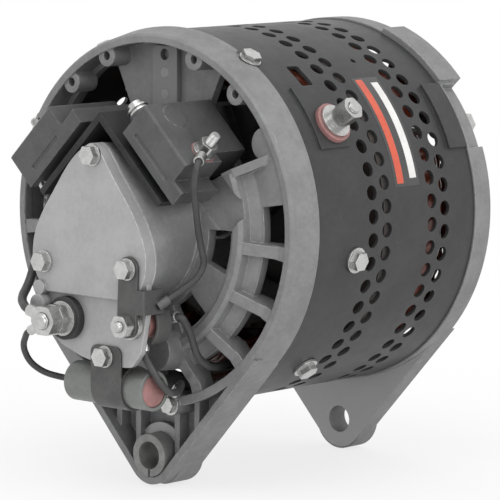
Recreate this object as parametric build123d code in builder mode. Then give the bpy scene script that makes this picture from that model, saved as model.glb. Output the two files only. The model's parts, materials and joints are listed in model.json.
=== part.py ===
from build123d import *
import os
from math import asin, atan, cos, degrees, radians, sin, sqrt, tan

# Alternator with a slip-ring end housing, a perforated shell and a drive-end housing, in millimetres.
# The shaft lies on the X axis, the drive end faces +X and +Z is up.
# The origin is on the shaft's axis, where the hub of a pulley seats.
# Angles about the shaft are counted from the -Y side up towards +Z.

os.makedirs("parts", exist_ok=True)

# Clearances
seat_clearance = 0.02
slide_clearance = 0.03
guide_clearance = 0.1
hole_clearance = 0.3
raceway_clearance = 0.1
air_gap = 0.6

# Front bearing, spacer and pulley seat
spacer_length = 9.0
spacer_radius = 17.0
front_bearing_bore = 12.5
front_bearing_radius = 31.0
front_bearing_width = 17.0
front_ball_radius = 5.75
front_ball_count = 7
pulley_seat_radius = 11.1125
pulley_seat_length = 30.0
shaft_thread_radius = 9.5
shaft_thread_length = 17.0
keyway_width = 4.8
keyway_depth = 2.6
keyway_length = 20.0

# Rear bearing
rear_bearing_bore = 8.5
rear_bearing_radius = 20.0
rear_bearing_width = 12.0
rear_ball_radius = 3.4
rear_ball_count = 8

# Lengths of the frame
bearing_lip = 2.0
drive_ring_depth = 12.8
shell_length = 114.2
rear_rim_depth = 16.0
front_bearing_front = -spacer_length
front_bearing_rear = front_bearing_front - front_bearing_width
drive_face = front_bearing_front + bearing_lip
shell_front = drive_face - drive_ring_depth
shell_rear = shell_front - shell_length
rear_face = shell_rear - rear_rim_depth

# Shell
shell_radius = 87.5
shell_wall = 2.0
vent_radius = 3.5
vent_count = 50
vent_rows = ((39.9, 9.84), (49.6, 5.34), (82.4, 5.25), (91.9, 2.57))
shell_bore = shell_radius - shell_wall
shell_window = (20.8, 28.9, 46.6, 55.1)
shell_screw_offset = 28.0
shell_screw_angles = (-9.7, -49.8, 189.7, 229.8)
shell_screw_radius = 2.5
shell_screw_flange = 6.0
shell_screw_flats = 8.0
shell_nut_height = 4.0

# Stator
core_offset = 50.0
core_length = 32.0
core_bore = 57.6
slot_count = 36
slot_width = 5.0
slot_depth = 15.0
slot_mouth = 2.2
core_rear = shell_rear + core_offset
core_front = core_rear + core_length
core_middle = (core_rear + core_front) / 2
end_turn_length = 15.5
end_turn_inner = 60.5
end_turn_outer = 81.0
conductor_width = 4.4

# Rotor
rotor_radius = core_bore - air_gap
pole_stack = 52.0
pole_disc = 10.0
pole_length = 41.0
claw_count = 6
claw_root_width = 33.0
claw_tip_width = 17.0
claw_tip_thickness = 5.0
pole_core_radius = 21.0
pole_neck_radius = 33.0
rotor_seat_radius = 12.7
collar_radius = 15.5
collar_length = 7.0
rear_step_radius = 11.0
bobbin_wall = 1.5
bobbin_gap = 0.3
coil_radius = 38.0
fan_disc = 1.5
fan_blade_height = 5.5
fan_radius = 52.0
fan_hub_radius = 26.0
fan_blade_count = 11
fan_blade_thickness = 1.5
fan_blade_sweep = 32.0
pole_rear_face = core_middle - pole_stack / 2
pole_front_face = core_middle + pole_stack / 2
collar_rear = front_bearing_rear - collar_length

# Rear housing
rim_front_radius = 86.4
rim_back_radius = 89.0
rim_inner = 82.2
rim_edge = 1.0
rim_flat = 2.5
spigot_length = 6.0
dish_start = 25.0
dish_plate_front = rear_face - 6.0
dish_plate = 5.0
ring_front = rear_face - 8.0
ring_inner = 57.0
ring_outer = 63.0
cone_radius = 68.5
cone_front = rear_face + 0.5
floor_thickness = 4.5
rib_width = 5.5
rib_angles = (-6.3, -27.3, -48.3, -69.3)
rib_back = rear_face + 10.0
outer_window = (69.5, 82.0)
outer_window_angles = ((-4.0, 9.5), (-25.2, -8.6), (-46.2, -29.6), (-67.2, -50.6), (-87.5, -71.6))
inner_window = (42.0, 55.5)
inner_window_angles = ((-21.0, 0.0), (-62.0, -44.0))
upper_floor_front = rear_face + 12.5
upper_window = (50.0, 80.0)
upper_window_angles = (29.5, 65.0)
rear_hub_radius = 27.0
rear_hub_front = rear_face + 14.0
rear_bearing_rear = rear_face - 2.0
rear_bearing_front = rear_bearing_rear + rear_bearing_width
rear_shoulder_bore = 16.0
rim_boss_radius = 5.0
rim_boss_circle = 80.0
rim_boss_hole = 2.1
rim_boss_depth = 10.0
rim_boss_angles = (50.0, 71.0, 111.0, 130.0)
rim_screw_offset = 2.0
rim_screw_angles = (59.3, 120.7)
rim_screw_radius = 3.0
rim_screw_flats = 8.0
rim_screw_head = 4.0
rim_screw_spot = 7.0
cast_boss_spot = (-18.0, -57.0)
cast_boss_radius = 9.0
cast_boss_front = rear_face - 16.0

# Collector tower and cover
tower_front = rear_face - 34.0
tower_back = rear_face - 8.0
tower_base_radius = 37.0
collector_chamber_radius = 23.0
brush_chamber_side = 8.5
brush_chamber_top = -18.0
brush_chamber_bottom = -50.0
brush_chamber_back = rear_face - 9.0
lower_box_back = rear_face - 8.0
gasket_thickness = 1.0
cover_thickness = 3.0
cover_step = 3.0
cover_ridge = -31.0
cover_screw_spots = ((-26.0, -16.3), (27.9, -17.4), (-3.0, 33.6))
cover_lower_screw_spot = (-8.8, -58.0)
cover_screw_radius = 2.5
cover_screw_depth = 14.0
cover_screw_flange = 5.0
cover_screw_flats = 8.0
cover_screw_head = 3.8
cover_flange_height = 1.0

# Lugs
lug_drop = 109.7
lug_bolt_radius = 6.5
rear_lug_depth = 20.0
rear_lug_web = 8.0
rear_lug_wall = 3.5
rear_lug_radius = 14.6
rear_boss_front = rear_face + 8.0
rear_boss_back = rear_face + 21.0
bush_radius = 10.0
bush_rear = rear_face - 1.0
bush_slit = 1.2
lug_rib_width = 3.0
lug_rib_places = (-24.7, -12.3, 12.3, 24.7)
lug_rib_front = rear_face + 5.0
ground_spot = (-14.3, -84.0)
ground_boss_radius = 5.0
ground_boss_front = rear_face - 1.0
ground_boss_length = 14.0
ground_screw_radius = 2.0
ground_screw_length = 8.0
ground_screw_flats = 7.0
ground_screw_head = 2.8
front_lug_web = 9.0
front_lug_rear = rear_face + 136.0
front_boss_length = 11.7

# Through bolts
bolt_circle = 79.5
bolt_angles = (30.0, 150.0, 270.0)
bolt_radius = 3.0
bolt_boss_radius = 7.5
bolt_boss_rear = rear_face + 1.0
bolt_thread_rear = rear_face + 6.0
bolt_head_flats = 10.0
bolt_head_height = 4.0

# Drive-end housing
drive_rim_radius = 88.4
drive_rim_edge = 1.5
drive_rim_wall = 6.4
end_wall = 4.5
front_hub_radius = 38.0
front_hub_rear = front_bearing_rear
drive_window = (43.0, 76.0)
drive_window_count = 8
drive_window_span = 29.0
drive_rib_depth = 10.0
drive_rib_width = 5.0
waist_radius = 84.8
waist_angles = (20.0, 42.0)
lobe_radius = 90.2
lobe_angles = (43.0, 70.0)
lobe_depth = 15.8
adjust_hole_radius = 4.25
adjust_hole_circle = 78.0
adjust_hole_angle = 56.5
adjust_boss_radius = 7.3
adjust_boss_depth = 18.0
retainer_thickness = 2.5
retainer_bore = 19.0
retainer_circle = 34.5
retainer_screw_radius = 2.0
retainer_screw_count = 4
retainer_screw_length = 9.0
retainer_head_radius = 3.6
retainer_head_height = 2.4

# Slip rings and brushes
slip_ring_radius = 14.5
slip_ring_bore = 12.0
slip_ring_width = 7.0
slip_ring_places = (rear_face - 26.5, rear_face - 16.5)
slip_hub_rear = rear_face - 32.0
slip_hub_flange = 1.5
slip_hub_neck = 11.0
brush_along = 5.0
brush_across = 8.0
brush_length = 13.5
brush_gap = 0.12
spring_radius = 1.7
spring_wire = 0.35
spring_turns = 7
brush_well_floor = -44.0
holder_gap = 0.3
holder_bottom = -48.0

# Heat sinks: x along the shaft from the rear face, n outwards along the sink's normal, t down along the sink
sink_profile = ((-30.0, 41.5), (-31.0, 50.0), (-25.0, 56.0), (10.5, 56.0), (10.5, 41.5))
sink_top = -25.0
sink_bottom = 17.0
sink_inner = 41.5
sink_outer = 56.0
bracket_outer = 37.0
bracket_thickness = 3.0
bracket_rear = rear_face - 33.8
bracket_back = -9.5
bracket_step = 9.0
bracket_seat = 33.98
bracket_tab_half = 7.8
bracket_tab_top = 80.5
bracket_tab_hole = 2.6
bracket_tab_hole_height = 76.4
bracket_screw_heights = (58.0, 68.0)
bracket_screw_radius = 2.5
diode_spots = ((-13.0, -17.0), (-17.0, 0.0), (1.0, -10.0))
diode_radius = 6.35
diode_depth = 8.0
diode_rim_radius = 7.2
diode_rim = 1.0
diode_pin_radius = 1.2
diode_pin_length = 5.0
diode_way = 4.5
sink_bump_spot = (-14.0, -19.0)
sink_bump_radius = 6.5
sink_bump_height = 0.8
sink_screw_spots = ((4.0, 4.0), (5.0, -21.0))
sink_spacer_radius = 4.2
sink_notch = (-9.5, 10.0)
sink_screw_radius = 2.0
sink_screw_depth = 8.0
sink_screw_head_radius = 3.6
sink_screw_head = 2.6
sink_stud_spot = (-18.0, 9.0)
sink_stud_radius = 2.5
sink_stud_length = 16.0
sink_stud_depth = 6.0
sink_washer_radius = 6.0
sink_washer = 4.5
sink_nut_flats = 8.0
sink_nut_height = 5.0
end_screw_place = -24.0
end_screw_height = 48.5

# Terminals
output_spot = (15.4, -42.5)
output_stud_radius = 4.0
output_tip = rear_face - 57.5
output_stud_end = rear_face - 21.0
output_disc_radius = 10.0
output_disc = 3.5
output_sleeve_radius = 5.5
output_nut_flats = 13.0
output_nut_rear = 4.0
output_nut_height = 6.5
output_washer_radius = 8.0
output_washer = 1.5
relay_spot = (-25.0, -42.0)
relay_stud_radius = 2.5
relay_tip = rear_face - 49.5
relay_stud_end = rear_face - 17.0
relay_nut_flats = 9.5
relay_nut_height = 5.0
relay_washer_radius = 6.5
relay_insulator_radius = 6.8
relay_insulator_length = 8.5
relay_back_nut_flats = 8.0
relay_back_nut_height = 4.0
link_thickness = 1.5
link_width = 11.5
link_side = 6.0
clip_thickness = 1.4
clip_depth = 7.5
clip_radius = 11.0
shell_stud_offset = 24.1
shell_stud_angle = 32.0
shell_stud_radius = 3.0
shell_stud_length = 17.0
shell_insulator_radius = 9.5
shell_insulator = 2.0
shell_washer_radius = 8.0
shell_washer = 1.5
shell_nut_flats = 10.0
shell_spacer_radius = 5.0
shell_spacer = 4.5
shell_nut_tall = 7.5
terminal_plate = (11.0, 31.0, 24.5, 45.8)
terminal_plate_height = 1.0

# Capacitor
capacitor_place = rear_face - 28.7
capacitor_drop = 72.9
capacitor_radius = 9.2
capacitor_left = 19.6
capacitor_right = -29.4
capacitor_seal_radius = 7.6
capacitor_seal_depth = 1.5
strap_thickness = 1.1
strap_side = 9.4

# Leads
lead_radius = 1.7
output_lead_radius = 2.1
thin_lead_radius = 1.5
lug_thickness = 1.0
barrel_wall = 0.8
barrel_length = 5.5
barrel_start = 1.5


def across(x):
    """Plane across the shaft at x, with Y to the right, Z up and +X outwards."""
    return Plane(origin=(x, 0, 0), x_dir=(0, 1, 0), z_dir=(1, 0, 0))


def spot(radius, angle):
    """The (y, z) of a point at a radius and an angle about the shaft."""
    return (-radius * cos(radians(angle)), radius * sin(radians(angle)))


def radial(x, angle, radius):
    """Plane that touches a cylinder about the shaft, with x along the shaft and z outwards."""
    y, z = spot(radius, angle)
    return Plane(origin=(x, y, z), x_dir=(1, 0, 0), z_dir=(0, y, z))


def lengthwise(angle):
    """Plane through the shaft, with x along the shaft and y outwards at the angle."""
    y, z = spot(1, angle)
    return Plane(origin=(0, 0, 0), x_dir=(1, 0, 0), z_dir=(0, -z, y))


def over_sink(x, n, t):
    """Plane on the right heat sink, with x along the shaft and z along the sink's outward normal."""
    y = -(n + t) / sqrt(2)
    z = (n - t) / sqrt(2)
    return Plane(origin=(rear_face + x, y, z), x_dir=(1, 0, 0), z_dir=(0, -1, 1))


def over_left_sink(x, n, t):
    """The same plane on the left heat sink."""
    right = over_sink(x, n, t)
    return Plane(origin=(right.origin.X, -right.origin.Y, right.origin.Z), x_dir=(1, 0, 0), z_dir=(0, 1, 1))


def both_sides(angles):
    """The angles and their mirror images on the +Y side, for pairs that start and end a sector."""
    return [(a, b) for a, b in angles] + [(180 - b, 180 - a) for a, b in angles]


def sector_face(inner, outer, start, end):
    """A ring sector between two radii and two angles, in the coordinates of a plane across the shaft."""
    middle = (start + end) / 2
    with BuildLine() as outline:
        ThreePointArc(spot(inner, start), spot(inner, middle), spot(inner, end))
        Line(spot(inner, end), spot(outer, end))
        ThreePointArc(spot(outer, end), spot(outer, middle), spot(outer, start))
        Line(spot(outer, start), spot(inner, start))
    return make_face(outline.edges())


def sectors(x, length, inner, outer, angles):
    """Solid ring sectors that start at x and run towards +X."""
    with BuildPart() as block:
        with BuildSketch(across(x)):
            for start, end in angles:
                add(sector_face(inner, outer, start, end))
        extrude(amount=length)
    return block.part


def tube(plane, outer, inner, length):
    """A tube, or a rod where the inner radius is 0."""
    with BuildPart() as body:
        with BuildSketch(plane):
            Circle(outer)
            if inner > 0:
                Circle(inner, mode=Mode.SUBTRACT)
        extrude(amount=length)
    return body.part


def ring(start, end, outer, inner):
    """A ring about the shaft between two stations."""
    return tube(across(start), outer, inner, end - start)


def nut(plane, flats, height, bore):
    """A hexagon nut with chamfered corners, seated on the plane."""
    with BuildPart() as body:
        with BuildSketch(plane):
            RegularPolygon(flats / 2, 6, major_radius=False)
            Circle(bore, mode=Mode.SUBTRACT)
        extrude(amount=height)
        with BuildSketch(plane):
            Circle(flats / 2 * 1.08)
        extrude(amount=height, mode=Mode.INTERSECT)
    return body.part


def screw(plane, radius, length, flats, head, flange=0.0, flange_height=0.0):
    """A hexagon screw whose head seats on the plane and whose shank goes the other way."""
    with BuildPart() as body:
        with BuildSketch(plane):
            Circle(radius)
        extrude(amount=-length)
        with BuildSketch(plane):
            RegularPolygon(flats / 2, 6, major_radius=False)
        extrude(amount=head)
        if flange > 0:
            with BuildSketch(plane):
                Circle(flange)
            extrude(amount=flange_height)
    return body.part


def behind(x, place):
    """Plane that faces -X at x, with its origin at the (y, z) place."""
    return Plane(origin=(x, *place), x_dir=(0, 1, 0), z_dir=(-1, 0, 0))


def before(x, place):
    """Plane that faces +X at x, with its origin at the (y, z) place."""
    return Plane(origin=(x, *place), x_dir=(0, 1, 0), z_dir=(1, 0, 0))


def ring_terminal(plane, bore, outer, wire):
    """A ring lug flat on the plane, whose barrel runs along the plane's x direction."""
    lift = wire + barrel_wall
    start = outer + barrel_start
    with BuildPart() as body:
        with BuildSketch(plane):
            Circle(outer)
            with Locations(((start + 2) / 2, 0)):
                Rectangle(start + 2, 2 * wire)
            Circle(bore, mode=Mode.SUBTRACT)
        extrude(amount=lug_thickness)
        barrel = Plane(origin=plane.from_local_coords((start, 0, lift)), x_dir=plane.z_dir, z_dir=plane.x_dir)
        with BuildSketch(barrel):
            Circle(lift)
        extrude(amount=barrel_length)
        with BuildSketch(barrel):
            Circle(wire + seat_clearance)
        extrude(amount=barrel_length, mode=Mode.SUBTRACT)
    return body.part


def terminal_start(plane, outer, wire, run=2.5):
    """The first two points of a lead that leaves a ring lug."""
    lift = wire + barrel_wall
    start = outer + barrel_start + 0.5
    end = outer + barrel_start + barrel_length + run
    return [tuple(plane.from_local_coords((reach, 0, lift))) for reach in (start, end)]


def cap_screw(plane, radius, length, head_radius, head):
    """A round-headed screw whose head seats on the plane."""
    with BuildPart() as body:
        with BuildSketch(plane):
            Circle(radius)
        extrude(amount=-length)
        with BuildSketch(plane):
            Circle(head_radius)
        extrude(amount=head)
    return body.part


def ball_bearing(rear, width, bore, outer, ball, count):
    """Outer ring, inner ring and balls of a bearing about the shaft."""
    pitch = (bore + outer) / 2
    middle = rear + width / 2
    land = ball * 0.62
    groove = ball + raceway_clearance
    with BuildPart() as outer_ring:
        add(ring(rear, rear + width, outer, pitch + land))
        with BuildSketch(Plane.XZ):
            with Locations((middle, pitch)):
                Circle(groove)
        revolve(axis=Axis.X, mode=Mode.SUBTRACT)
    with BuildPart() as inner_ring:
        add(ring(rear, rear + width, pitch - land, bore + seat_clearance))
        with BuildSketch(Plane.XZ):
            with Locations((middle, pitch)):
                Circle(groove)
        revolve(axis=Axis.X, mode=Mode.SUBTRACT)
    with BuildPart() as balls:
        for k in range(count):
            y, z = spot(pitch, 360 * k / count)
            with Locations((middle, y, z)):
                Sphere(ball)
    return outer_ring.part, inner_ring.part, balls.part


def lead(points, radius):
    """A round lead along straight runs joined by tangent arcs as large as the runs allow."""
    places = [Vector(*p) for p in points]
    runs = [b - a for a, b in zip(places, places[1:])]
    shares = [0.3] + [0.45] * (len(runs) - 2) + [0.3]
    reaches = [share * run.length for share, run in zip(shares, runs)]
    radii = []
    for k in range(len(runs) - 1):
        turn = radians(runs[k].get_angle(runs[k + 1]))
        radii.append(min(reaches[k], reaches[k + 1]) / tan(turn / 2))
    with BuildPart() as body:
        with BuildLine():
            FilletPolyline(*places, radius=radii)
        with BuildSketch(Plane(origin=places[0], z_dir=runs[0])):
            Circle(radius)
        sweep()
    return body.part


def hull_face(radius, lug_radius):
    """The outline of a lug: a triangle of tangents from a circle about the shaft to the lug's boss."""
    beta = asin((radius - lug_radius) / lug_drop)
    near = (radius * cos(beta), -radius * sin(beta))
    far = (lug_radius * cos(beta), -lug_drop - lug_radius * sin(beta))
    with BuildSketch() as outline:
        with BuildLine():
            Polyline((-near[0], near[1]), near, far, (-far[0], far[1]), close=True)
        make_face()
        with Locations((0, -lug_drop)):
            Circle(lug_radius)
    return outline.sketch


def ogive_face():
    """The outline of the collector tower's front: a pointed top over a round bottom."""
    right = ((11.0, 30.2), (22.0, 15.8), (31.5, 1.5), (35.6, -14.0), (31.0, -27.0), (18.5, -35.0))
    left = tuple((-y, z) for y, z in reversed(right))
    with BuildLine() as outline:
        Spline((0, 38.4), *right, (0, -37.0), *left, periodic=True)
    return make_face(outline.edges())


def circle_face(radius):
    """A circle drawn like the ogive, with the same number of points, so that the two can be joined."""
    turns = (0, 20, 54, 87, 112, 131, 152, 180)
    right = [(radius * sin(radians(t)), radius * cos(radians(t))) for t in turns]
    left = [(-y, z) for y, z in reversed(right[1:-1])]
    with BuildLine() as outline:
        Spline(*right, *left, periodic=True)
    return make_face(outline.edges())


def lower_cover_face(margin):
    """The cover's outline below the ridge, drawn in by a margin."""
    points = ((-33.4, -20), (-33.9, -34), (-29.8, -55), (-24.0, -61.8), (-9.0, -62.8), (7.0, -59.8), (21.0, -54.8))
    points = points + ((32.5, -38), (33.4, -20))
    with BuildSketch() as outline:
        with BuildLine():
            Polyline(*points, close=True)
        make_face()
        fillet(outline.vertices().sort_by(Axis.Y)[:7], 3.5)
        if margin > 0:
            offset(amount=-margin, mode=Mode.REPLACE)
    return outline.sketch


def lower_box_face():
    """The outline of the box behind the cover's lower part."""
    with BuildLine() as outline:
        Polyline((-14, -24), (-14, -60), (-9, -61.6), (6.5, -58.4), (20, -53.5), (30.5, -38), (31, -24), close=True)
    return make_face(outline.edges())


# Bearings
rear_bearing = ball_bearing(
    rear_bearing_rear, rear_bearing_width, rear_bearing_bore, rear_bearing_radius, rear_ball_radius, rear_ball_count
)
front_bearing = ball_bearing(
    front_bearing_rear, front_bearing_width, front_bearing_bore, front_bearing_radius,
    front_ball_radius, front_ball_count
)
for prefix, pieces in (("rear", rear_bearing), ("front", front_bearing)):
    for piece, name in zip(pieces, ("outer_ring", "inner_ring", "balls")):
        piece.label = f"{prefix}_bearing_{name}"
        export_step(piece, f"parts/{piece.label}.step")

# Rear housing
with BuildPart() as rear_housing:
    # Rim with the spigot that enters the shell
    with BuildSketch(Plane.XZ):
        with BuildLine():
            Polyline(
                (rear_face, rim_inner), (rear_face, rim_front_radius - rim_edge),
                (rear_face + rim_edge, rim_front_radius), (shell_rear - rim_flat, rim_back_radius),
                (shell_rear, rim_back_radius), (shell_rear, shell_bore - seat_clearance),
                (shell_rear + spigot_length, shell_bore - seat_clearance),
                (shell_rear + spigot_length, rim_inner), close=True,
            )
        make_face()
    revolve(axis=Axis.X)
    # Dished floor below the heat sinks, with its raised ring
    with BuildSketch(lengthwise(dish_start)):
        with BuildLine():
            Polyline(
                (dish_plate_front, rear_hub_radius - 1), (dish_plate_front, ring_inner), (ring_front + 1, ring_inner),
                (ring_front, ring_inner + 1), (ring_front, ring_outer - 1.5), (ring_front + 1.5, ring_outer),
                (dish_plate_front + 4, ring_outer + 0.5), (cone_front, cone_radius),
                (cone_front, rim_inner + 1), (cone_front + floor_thickness, rim_inner + 1),
                (cone_front + floor_thickness, cone_radius), (dish_plate_front + dish_plate + 3, ring_outer),
                (dish_plate_front + dish_plate, ring_inner - 1),
                (dish_plate_front + dish_plate, rear_hub_radius - 1), close=True,
            )
        make_face()
    revolve(axis=Axis.X, revolution_arc=180 + 2 * dish_start)
    # Windows through the dish
    add(
        sectors(dish_plate_front - 4, 20, *outer_window, both_sides(outer_window_angles)),
        mode=Mode.SUBTRACT,
    )
    add(
        sectors(dish_plate_front - 4, 20, *inner_window, both_sides(inner_window_angles)),
        mode=Mode.SUBTRACT,
    )
    # Radial ribs from the ring down to the rim
    for angle in rib_angles + tuple(180 - a for a in rib_angles) + (-90.0,):
        with BuildSketch(lengthwise(angle)):
            with BuildLine():
                Polyline(
                    (ring_front + 1, ring_outer - 3), (ring_front + 1.5, ring_outer + 1),
                    (rear_face - 1.5, (ring_outer + rim_inner) / 2 + 2), (rear_face + 1.5, rim_inner - 2),
                    (rear_face + 2.5, rim_inner + 1), (rib_back, rim_inner + 1), (rib_back, cone_radius + 4),
                    (cone_front + 2, ring_outer - 1), (dish_plate_front + 3, ring_outer - 3), close=True,
                )
            make_face()
        extrude(amount=rib_width / 2, both=True)
    # Walls that close the dish beside the heat sinks
    for angle in (dish_start, 180 - dish_start):
        with BuildSketch(lengthwise(angle)):
            with BuildLine():
                Polyline(
                    (dish_plate_front, rear_hub_radius - 1), (dish_plate_front - 1, ring_inner - 12),
                    (ring_front, ring_inner), (ring_front + 1, ring_outer), (rear_face + 1, rim_inner - 3),
                    (rear_face + 2, rim_inner + 1), (upper_floor_front + floor_thickness, rim_inner + 1),
                    (upper_floor_front + floor_thickness, rear_hub_radius - 1), close=True,
                )
            make_face()
        extrude(amount=2, both=True)
    # Flat floor behind the heat sinks, with its two large windows
    add(sectors(upper_floor_front, floor_thickness, rear_hub_radius - 1, rim_inner + 1, [(dish_start, 180 - dish_start)]))
    add(
        sectors(upper_floor_front - 1, floor_thickness + 2, *upper_window, both_sides([upper_window_angles])),
        mode=Mode.SUBTRACT,
    )
    # Bearing hub
    with BuildSketch(across(tower_back)):
        Circle(rear_hub_radius)
    extrude(amount=rear_hub_front - tower_back)
    with BuildSketch(across(tower_back)):
        Circle(tower_base_radius)
    extrude(amount=dish_plate_front + 1 - tower_back)
    # Collector tower, lofted from the pointed front to the round base
    with BuildSketch(across(tower_front)):
        add(ogive_face())
    with BuildSketch(across(tower_back)):
        add(circle_face(tower_base_radius - 0.5))
    loft()
    with BuildSketch(across(tower_front)):
        add(lower_box_face())
    extrude(amount=lower_box_back - tower_front)
    # Flats on the tower under the heat sinks' bracket
    for side in (1, -1):
        with BuildSketch(Plane(origin=(tower_front, 0, 0), x_dir=(0, side, 1), z_dir=(1, 0, 0))):
            with Locations((bracket_seat + 10, 0)):
                Rectangle(20, 80)
        extrude(amount=dish_plate_front + 1 - tower_front, mode=Mode.SUBTRACT)
    # Cast boss beside the ring
    with BuildSketch(across(cast_boss_front)):
        with Locations(cast_boss_spot):
            Circle(cast_boss_radius)
    extrude(amount=rear_face - cast_boss_front)
    # Bosses for the through bolts and along the rim
    with BuildSketch(across(bolt_boss_rear)):
        with Locations(*[spot(bolt_circle, a) for a in bolt_angles]):
            Circle(bolt_boss_radius)
    extrude(amount=shell_rear - bolt_boss_rear)
    with BuildSketch(across(shell_rear)):
        with Locations(*[spot(bolt_circle, a) for a in bolt_angles]):
            Circle(bolt_boss_radius - 1.6)
    extrude(amount=spigot_length)
    with BuildSketch(across(rear_face + 0.8)):
        with Locations(*[spot(rim_boss_circle, a) for a in rim_boss_angles]):
            Circle(rim_boss_radius)
    extrude(amount=upper_floor_front - rear_face)
    # Hinge lug: walls, pockets, ribs and boss
    with BuildSketch(across(rear_face)):
        add(hull_face(rim_front_radius + 1, rear_lug_radius - 0.8))
        Circle(rim_inner + 1, mode=Mode.SUBTRACT)
    extrude(amount=rear_lug_depth)
    with BuildSketch(across(rear_face)):
        add(hull_face(rim_front_radius + 1 - rear_lug_wall, rear_lug_radius - 0.8 - rear_lug_wall))
        Circle(rim_front_radius, mode=Mode.SUBTRACT)
    extrude(amount=rear_lug_depth - rear_lug_web, mode=Mode.SUBTRACT)
    with BuildSketch(across(rear_boss_front)):
        with Locations((0, -lug_drop)):
            Circle(rear_lug_radius)
    extrude(amount=rear_boss_back - rear_boss_front)
    for place in lug_rib_places:
        with BuildSketch(across(lug_rib_front)):
            add(hull_face(rim_front_radius, rear_lug_radius - 1.6))
            Circle(rim_front_radius - 1, mode=Mode.SUBTRACT)
            with Locations((place, -lug_drop + 10)):
                Rectangle(lug_rib_width, 60, mode=Mode.INTERSECT)
        extrude(amount=rear_lug_depth - lug_rib_front + rear_face)
    with BuildSketch(across(ground_boss_front)):
        with Locations(ground_spot):
            Circle(ground_boss_radius)
    extrude(amount=ground_boss_length)
    # Groove that takes the end of the shell
    add(ring(shell_rear, shell_rear + 8, shell_radius + seat_clearance, shell_bore - seat_clearance), mode=Mode.SUBTRACT)
    # Bores
    with BuildSketch(across(ground_boss_front)):
        with Locations(ground_spot):
            Circle(ground_screw_radius + seat_clearance)
    extrude(amount=ground_screw_length + 2, mode=Mode.SUBTRACT)
    with BuildSketch(across(rear_boss_front - 10)):
        with Locations((0, -lug_drop)):
            Circle(bush_radius + slide_clearance)
    extrude(amount=rear_boss_back - rear_boss_front + 20, mode=Mode.SUBTRACT)
    with BuildSketch(across(rear_bearing_rear)):
        Circle(rear_bearing_radius + seat_clearance)
    extrude(amount=rear_hub_front - rear_bearing_rear, mode=Mode.SUBTRACT)
    with BuildSketch(across(tower_back)):
        Circle(rear_shoulder_bore)
    extrude(amount=rear_bearing_rear - tower_back, mode=Mode.SUBTRACT)
    with BuildSketch(across(tower_front)):
        Circle(collector_chamber_radius)
    extrude(amount=tower_back + 2 - tower_front, mode=Mode.SUBTRACT)
    with BuildSketch(across(tower_front)):
        with Locations((0, (brush_chamber_top + brush_chamber_bottom) / 2)):
            Rectangle(2 * brush_chamber_side, brush_chamber_top - brush_chamber_bottom)
    extrude(amount=brush_chamber_back - tower_front, mode=Mode.SUBTRACT)
    with BuildSketch(across(tower_front)):
        with Locations(*cover_screw_spots, cover_lower_screw_spot):
            Circle(cover_screw_radius + seat_clearance)
        with Locations(output_spot):
            Circle(output_sleeve_radius + seat_clearance)
    extrude(amount=cover_screw_depth, mode=Mode.SUBTRACT)
    with BuildSketch(across(bolt_thread_rear)):
        with Locations(*[spot(bolt_circle, a) for a in bolt_angles]):
            Circle(bolt_radius + seat_clearance)
    extrude(amount=shell_rear + spigot_length - bolt_thread_rear, mode=Mode.SUBTRACT)
    with BuildSketch(across(rear_face)):
        with Locations(*[spot(rim_boss_circle, a) for a in rim_boss_angles]):
            Circle(rim_boss_hole)
    extrude(amount=rim_boss_depth, mode=Mode.SUBTRACT)
    with BuildSketch(across(upper_floor_front)):
        with Locations(*[(0, z) for z in bracket_screw_heights]):
            Circle(bracket_screw_radius + hole_clearance)
    extrude(amount=floor_thickness, mode=Mode.SUBTRACT)
    # Spot faces and holes for the radial rim screws
    for angle in rim_screw_angles:
        with BuildSketch(radial(shell_rear + rim_screw_offset, angle, shell_radius)):
            Circle(rim_screw_spot)
        extrude(amount=6, mode=Mode.SUBTRACT)
        with BuildSketch(radial(shell_rear + rim_screw_offset, angle, rim_inner - 2)):
            Circle(rim_screw_radius + seat_clearance)
        extrude(amount=10, mode=Mode.SUBTRACT)
rear_housing.part.label = "rear_housing"
export_step(rear_housing.part, "parts/rear_housing.step")

# Split bush that slides in the hinge lug
with BuildPart() as lug_bush:
    add(tube(before(bush_rear, (0, -lug_drop)), bush_radius, lug_bolt_radius, rear_boss_back + 0.5 - bush_rear))
    with BuildSketch(across(bush_rear)):
        with Locations((0, -lug_drop - bush_radius)):
            Rectangle(bush_slit, 2 * bush_radius - 2)
    extrude(amount=rear_boss_back + 0.5 - bush_rear, mode=Mode.SUBTRACT)
lug_bush.part.label = "lug_bush"
export_step(lug_bush.part, "parts/lug_bush.step")

# Collector cover, thick above the ridge and thin below it
cover_seat = tower_front - gasket_thickness
cover_low = cover_seat - cover_thickness
cover_high = cover_low - cover_step
all_cover_spots = (*cover_screw_spots, cover_lower_screw_spot)
with BuildPart() as collector_cover:
    with BuildSketch(across(cover_seat)):
        add(ogive_face())
        add(lower_cover_face(0))
    extrude(amount=-cover_thickness)
    with BuildSketch(across(cover_low)):
        add(ogive_face())
        with Locations((0, cover_ridge - 20)):
            Rectangle(100, 40, mode=Mode.SUBTRACT)
    extrude(amount=-cover_step)
    # Two cast bumps below the left screw
    with BuildSketch(across(cover_low)):
        with Locations((30.4, -29.5)):
            Circle(3.4)
    extrude(amount=-cover_step - 1.5)
    with BuildSketch(across(cover_low)):
        with Locations((30.0, -37.0)):
            Circle(4.4)
    extrude(amount=-cover_step - 3)
    # Screw holes and the two stud holes
    with BuildSketch(across(cover_seat)):
        with Locations(*all_cover_spots):
            Circle(cover_screw_radius + hole_clearance)
        with Locations(output_spot):
            Circle(output_sleeve_radius + seat_clearance)
        with Locations(relay_spot):
            Circle(relay_stud_radius + hole_clearance)
    extrude(amount=-cover_thickness - cover_step, mode=Mode.SUBTRACT)
collector_cover.part.label = "collector_cover"
export_step(collector_cover.part, "parts/collector_cover.step")

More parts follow.
